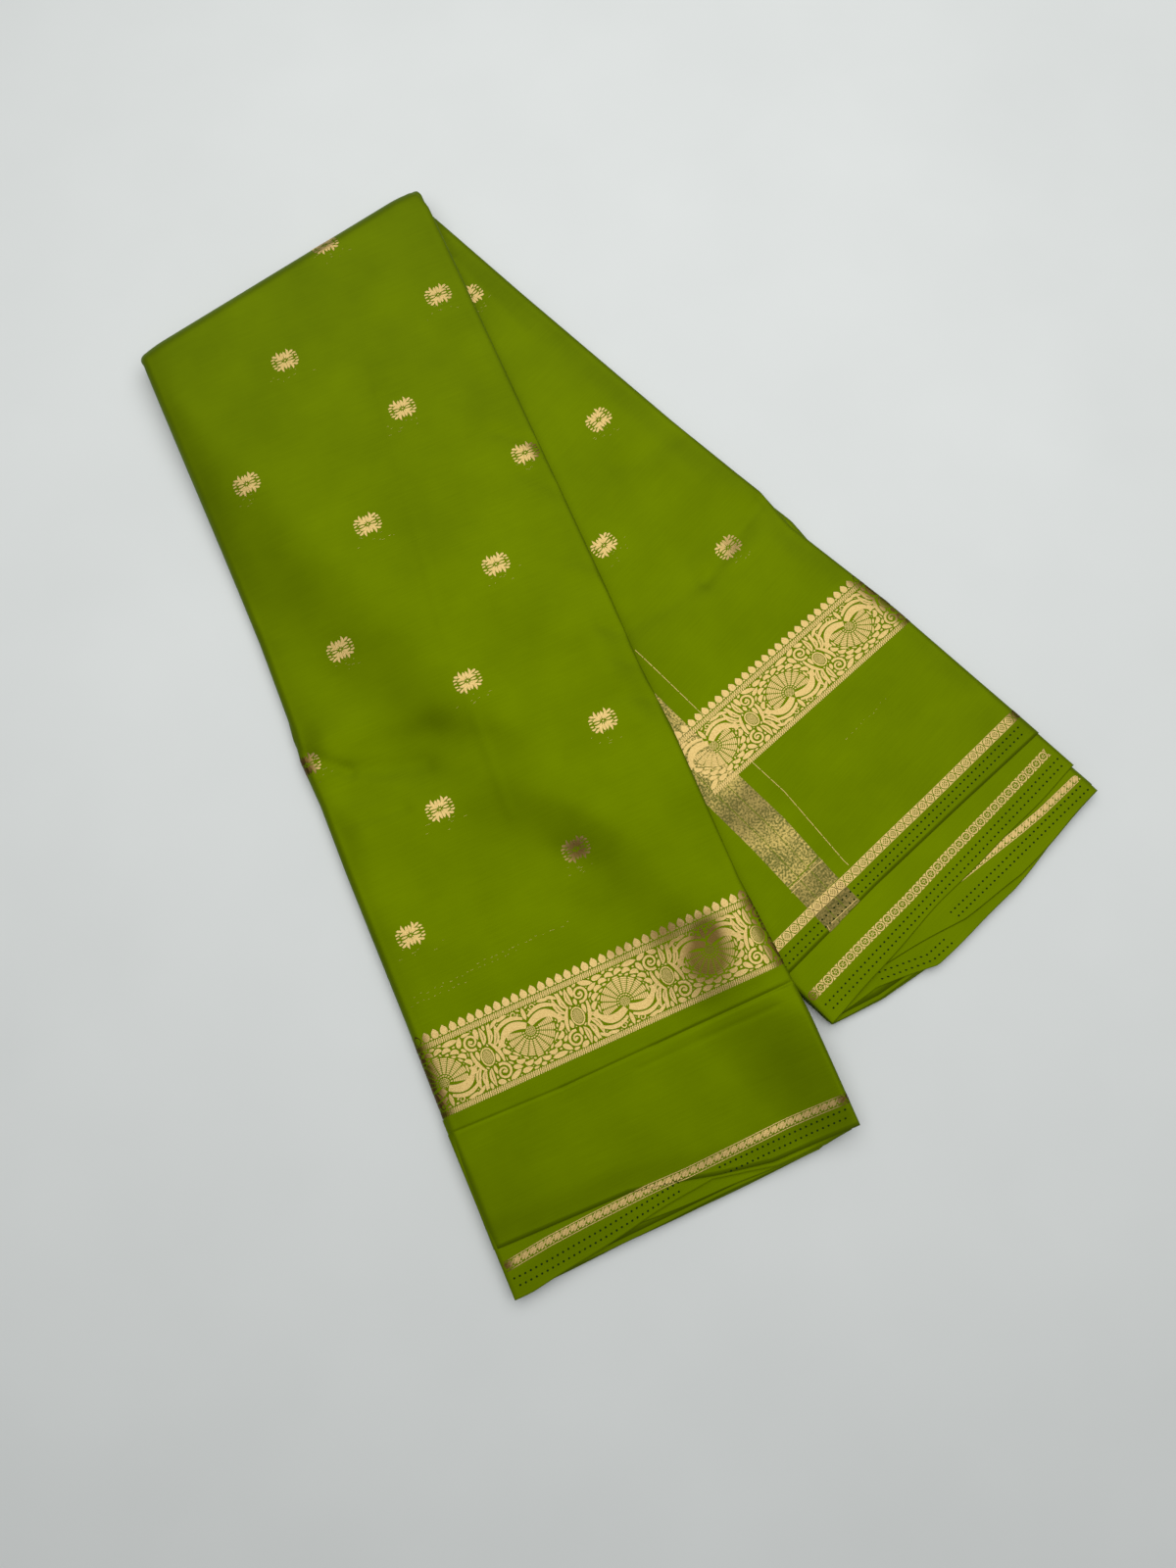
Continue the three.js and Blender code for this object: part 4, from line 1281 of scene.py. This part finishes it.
# %% Gold of the lower leg
lower_top = top_surface(LOWER, LOWER_ENDS["face"])
lower_gold = [s for x, y in LOWER_SPRIGS for s in turned(SPRIG, x=x, y=y)]
lower_gold += within(slanted(border_strokes(206, -4), 406.8, 0.077, 0.93), 44, 199)
lower_line = [(-8, 500.3), (7, 500.6), (39, 502.0), (61, 503.8), (91, 505.2), (121, 507), (197, 510.6)]
lower_gold += follow(medallion_strokes(-6, 196, 0), lower_line)
thread = [(74, 332), (73, 376), (72, 421), (72, 447), (66, 496)]
for start in np.arange(332, 494, 7.0):
    along = np.array([start, start + 3.0, start + 6.4])
    across = np.interp(along, [row[1] for row in thread], [row[0] for row in thread])
    lower_gold.append(stroke(np.stack([across, along], 1), 0.2))
for row in (
    [(34.2, 485.0), (46.0, 486.2), (58.2, 487.4)],
    [(33.2, 487.2), (36.0, 487.5), (39.0, 487.8)],
    [(36.0, 513.6), (46.0, 514.3), (55.0, 514.9)],
    [(33.6, 513.0), (33.2, 514.2), (32.8, 515.4)],
):
    lower_gold.append(stroke(row, 0.22))
lower_gold += flecks(LOWER_SPRIGS, [(452, 118, 150)])
lay_strokes("lower_zari", lower_gold, lower_top, gold, painted_shade=gold_shade(LOWER, LOWER_GOLD_SHADE))
ring_line = [(-4, 532), (3, 532.2), (36, 533), (75, 534.8), (107, 535), (139, 536), (196, 537.2)]
chain = follow(ring_strokes(-2, 189, 0), ring_line)
inner_line = [(96, 546.8), (126, 551.4), (146, 554.6), (162, 556.6), (192, 558.6)]
inner = follow(leaf_line_strokes(98, 190, 0, half=1.9), inner_line)
lay_strokes(
    "lower_edge_zari", chain, edge_surface(LOWER, 1, LOWER_ENDS["second"]), gold,
    painted_shade=gold_shade(LOWER),
)
lay_strokes("lower_inner_zari", inner, edge_surface(LOWER, 2, LOWER_ENDS["third"]), gold)

# %% [markdown]
# ### The cross strip
# Where the end piece of the saree begins, a strip woven through with gold runs the full
# width of the cloth, so on the folded leg it runs along it. Its gold is broken up by green,
# in specks about 1.2 mm wide, and two thin green lines part it in three.

# %% Cross strip
SPECK_MM = 1.2


def speckled_material():
    """Tissue weave: gilded thread that comes and goes between green warps."""
    material, tree = new_material("gold tissue weave")
    uv = add_node(tree, "UVMap", {"uv_map": "cloth"}).outputs[0]
    specks = noise(tree, uv, SPECK_MM, 3.0)
    patches = noise(tree, uv, 14 * SPECK_MM, 1.0)
    mixed = add_node(
        tree, "Math", {"operation": "MULTIPLY_ADD"},
        i0=patches, i1=0.35, i2=specks,
    )
    share = add_node(tree, "MapRange", i0=mixed.outputs[0], From_Min=0.58, From_Max=0.8)
    colour = blend(tree, share.outputs[0], linear("#555608"), linear("#B9A155"))
    # painted shade: the tissue's gold goes brown by the piece's attribute
    colour = with_painted_shade(tree, colour, "#4A3F08")
    bump = add_node(tree, "Bump", Strength=0.6, Distance=0.0001, Height=specks)
    shader = add_node(
        tree, "BsdfPrincipled", Base_Color=colour, Metallic=0.6,
        Roughness=0.45, Normal=bump.outputs[0],
    )
    finish_material(tree, shader)
    return material


tissue = speckled_material()
STRIP_EDGES = np.array(  # distance along the leg, then where its two edges lie across it
    [(335, 38.5, 64), (420, 37, 61.5), (457, 36, 61), (496, 33.2, 57.2), (517, 32, 56)]
)
STRIP_LANES = [(0, 0.316), (0.324, 0.64), (0.648, 1)]
STRIP_SHADE = np.array(  # distance along the leg, then how much painted shade the gold gets
    [(335, 0.1), (424, 0.15), (432, 0.55), (446, 0.5), (456, 0.1), (484, 0.05), (487, 0.4)]
    + [(500, 0.45), (504, 0.7), (517, 0.65)]
)
STRIP_RUNS = [(335, 484), (484.6, 500), (500.4, 516.6)]


def strip_patches():
    """Patches of the strip as wide strokes: across within a lane, along a run."""
    patches = []
    for low, high in STRIP_LANES:
        for first, last in STRIP_RUNS:
            along = np.linspace(first, last, max(4, int((last - first) / 1.5)))
            left = np.interp(along, STRIP_EDGES[:, 0], STRIP_EDGES[:, 1])
            wide = np.interp(along, STRIP_EDGES[:, 0], STRIP_EDGES[:, 2]) - left
            middle = left + wide * (low + high) / 2
            patches.append(stroke(np.stack([middle, along], 1), wide * (high - low) / 2))
    return patches


lay_strokes(
    "pallu_strip", strip_patches(), lower_top, tissue, height=-0.05,
    painted_shade=lambda u, t: np.interp(u, *STRIP_SHADE.T),
)

# %% [markdown]
# ### Pin holes
# After weaving, the cloth was stretched on a frame whose pins left two rows of small holes
# beside each selvedge. Each is a flat dark dot a little over a millimetre across: painted shade for the
# hollow of the hole.

# %% Pin holes
def hole_shade_material():
    """A pin hole: a dark, matt green dot, painted shade for the hollow in the cloth."""
    material, tree = new_material("pin holes, painted shade")
    place = add_node(tree, "TexCoord").outputs["Object"]
    colour = blend(tree, noise(tree, place, 0.5), linear("#0C1E00"), linear("#182E02"))
    shader = add_node(tree, "BsdfPrincipled", Base_Color=colour, Roughness=0.8)
    shader.inputs["Specular IOR Level"].default_value = 0.1
    finish_material(tree, shader)
    return material


holes = hole_shade_material()
HOLE_ROWS = [
    ("upper_holes", UPPER, 0, "face", (118, 190), [(86, 552.6), (122, 551.8), (190, 551.6)]),
    ("upper_edge_holes", UPPER, 1, "second", (-1, 96), [(4, 558.6), (18, 557.8), (52, 555), (96, 550)]),
    ("lower_holes", LOWER, 0, "face", (0, 190), [(0, 507.2), (61, 510), (121, 512.8), (190, 516.4)]),
    ("lower_edge_holes", LOWER, 1, "second", (2, 192), [(0, 540.2), (107, 542), (190, 543.8)]),
    ("lower_inner_holes", LOWER, 2, "third", (86, 190), [(86, 556.6), (128, 559.2), (190, 563)]),
    ("lower_last_holes", LOWER, 3, "fourth", (32, 74), [(30, 547.5), (60, 562.5), (75, 564)]),
]
for name, leg, level, key, (low, high), line in HOLE_ROWS:
    end_table = (UPPER_ENDS if leg is UPPER else LOWER_ENDS)[key]
    surface = edge_surface(leg, level, end_table) if level else top_surface(leg, end_table)
    dots = held_to(follow(hole_strokes(low, high, 0), line), end_table)
    lay_strokes(name, dots, surface, holes)

# %% [markdown]
# ## Floor and light
# A plain pale table and one large soft light overhead, a little beyond the head fold, with
# a dim sky that fills the shadows. Metal thread needs something bright to face and
# something dim to turn to.

# %% Floor and light
FLOOR_SIZE, FLOOR_DROP = 6, 0.0002
SKY_STRENGTH = 0.22
LIGHT_PLACE = (0.04, 0.36, 0.95)
LIGHT_SIZE, LIGHT_WATTS = 1.6, 15.6


def floor_material():
    """Painted board: pale cool grey, matt, with a barely uneven surface."""
    material, tree = new_material("table, matt white board")
    place = add_node(tree, "TexCoord").outputs["Object"]
    grain = add_node(tree, "TexNoise", i0=place, Scale=9.0, Detail=3.0)
    colour = blend(tree, grain.outputs[0], linear("#CFD2D0"), linear("#D8DBD9"))
    shader = add_node(tree, "BsdfPrincipled", Base_Color=colour, Roughness=0.7)
    finish_material(tree, shader)
    return material


bpy.ops.mesh.primitive_plane_add(size=FLOOR_SIZE, location=(0, 0, -FLOOR_DROP))
floor = bpy.context.object
floor.name = "table"
floor.data.materials.append(floor_material())

world = bpy.data.worlds.new("studio")
bpy.context.scene.world = world
world.use_nodes = True
sky = world.node_tree.nodes["Background"].inputs
sky["Color"].default_value = linear("#F4F7FA")
sky["Strength"].default_value = SKY_STRENGTH

panel = bpy.data.lights.new("overhead", "AREA")
panel.shape, panel.size, panel.energy = "SQUARE", LIGHT_SIZE, LIGHT_WATTS
overhead = bpy.data.objects.new("overhead", panel)
overhead.location = LIGHT_PLACE
bpy.context.scene.collection.objects.link(overhead)
print("light", overhead.name, LIGHT_WATTS, "W at", LIGHT_PLACE)
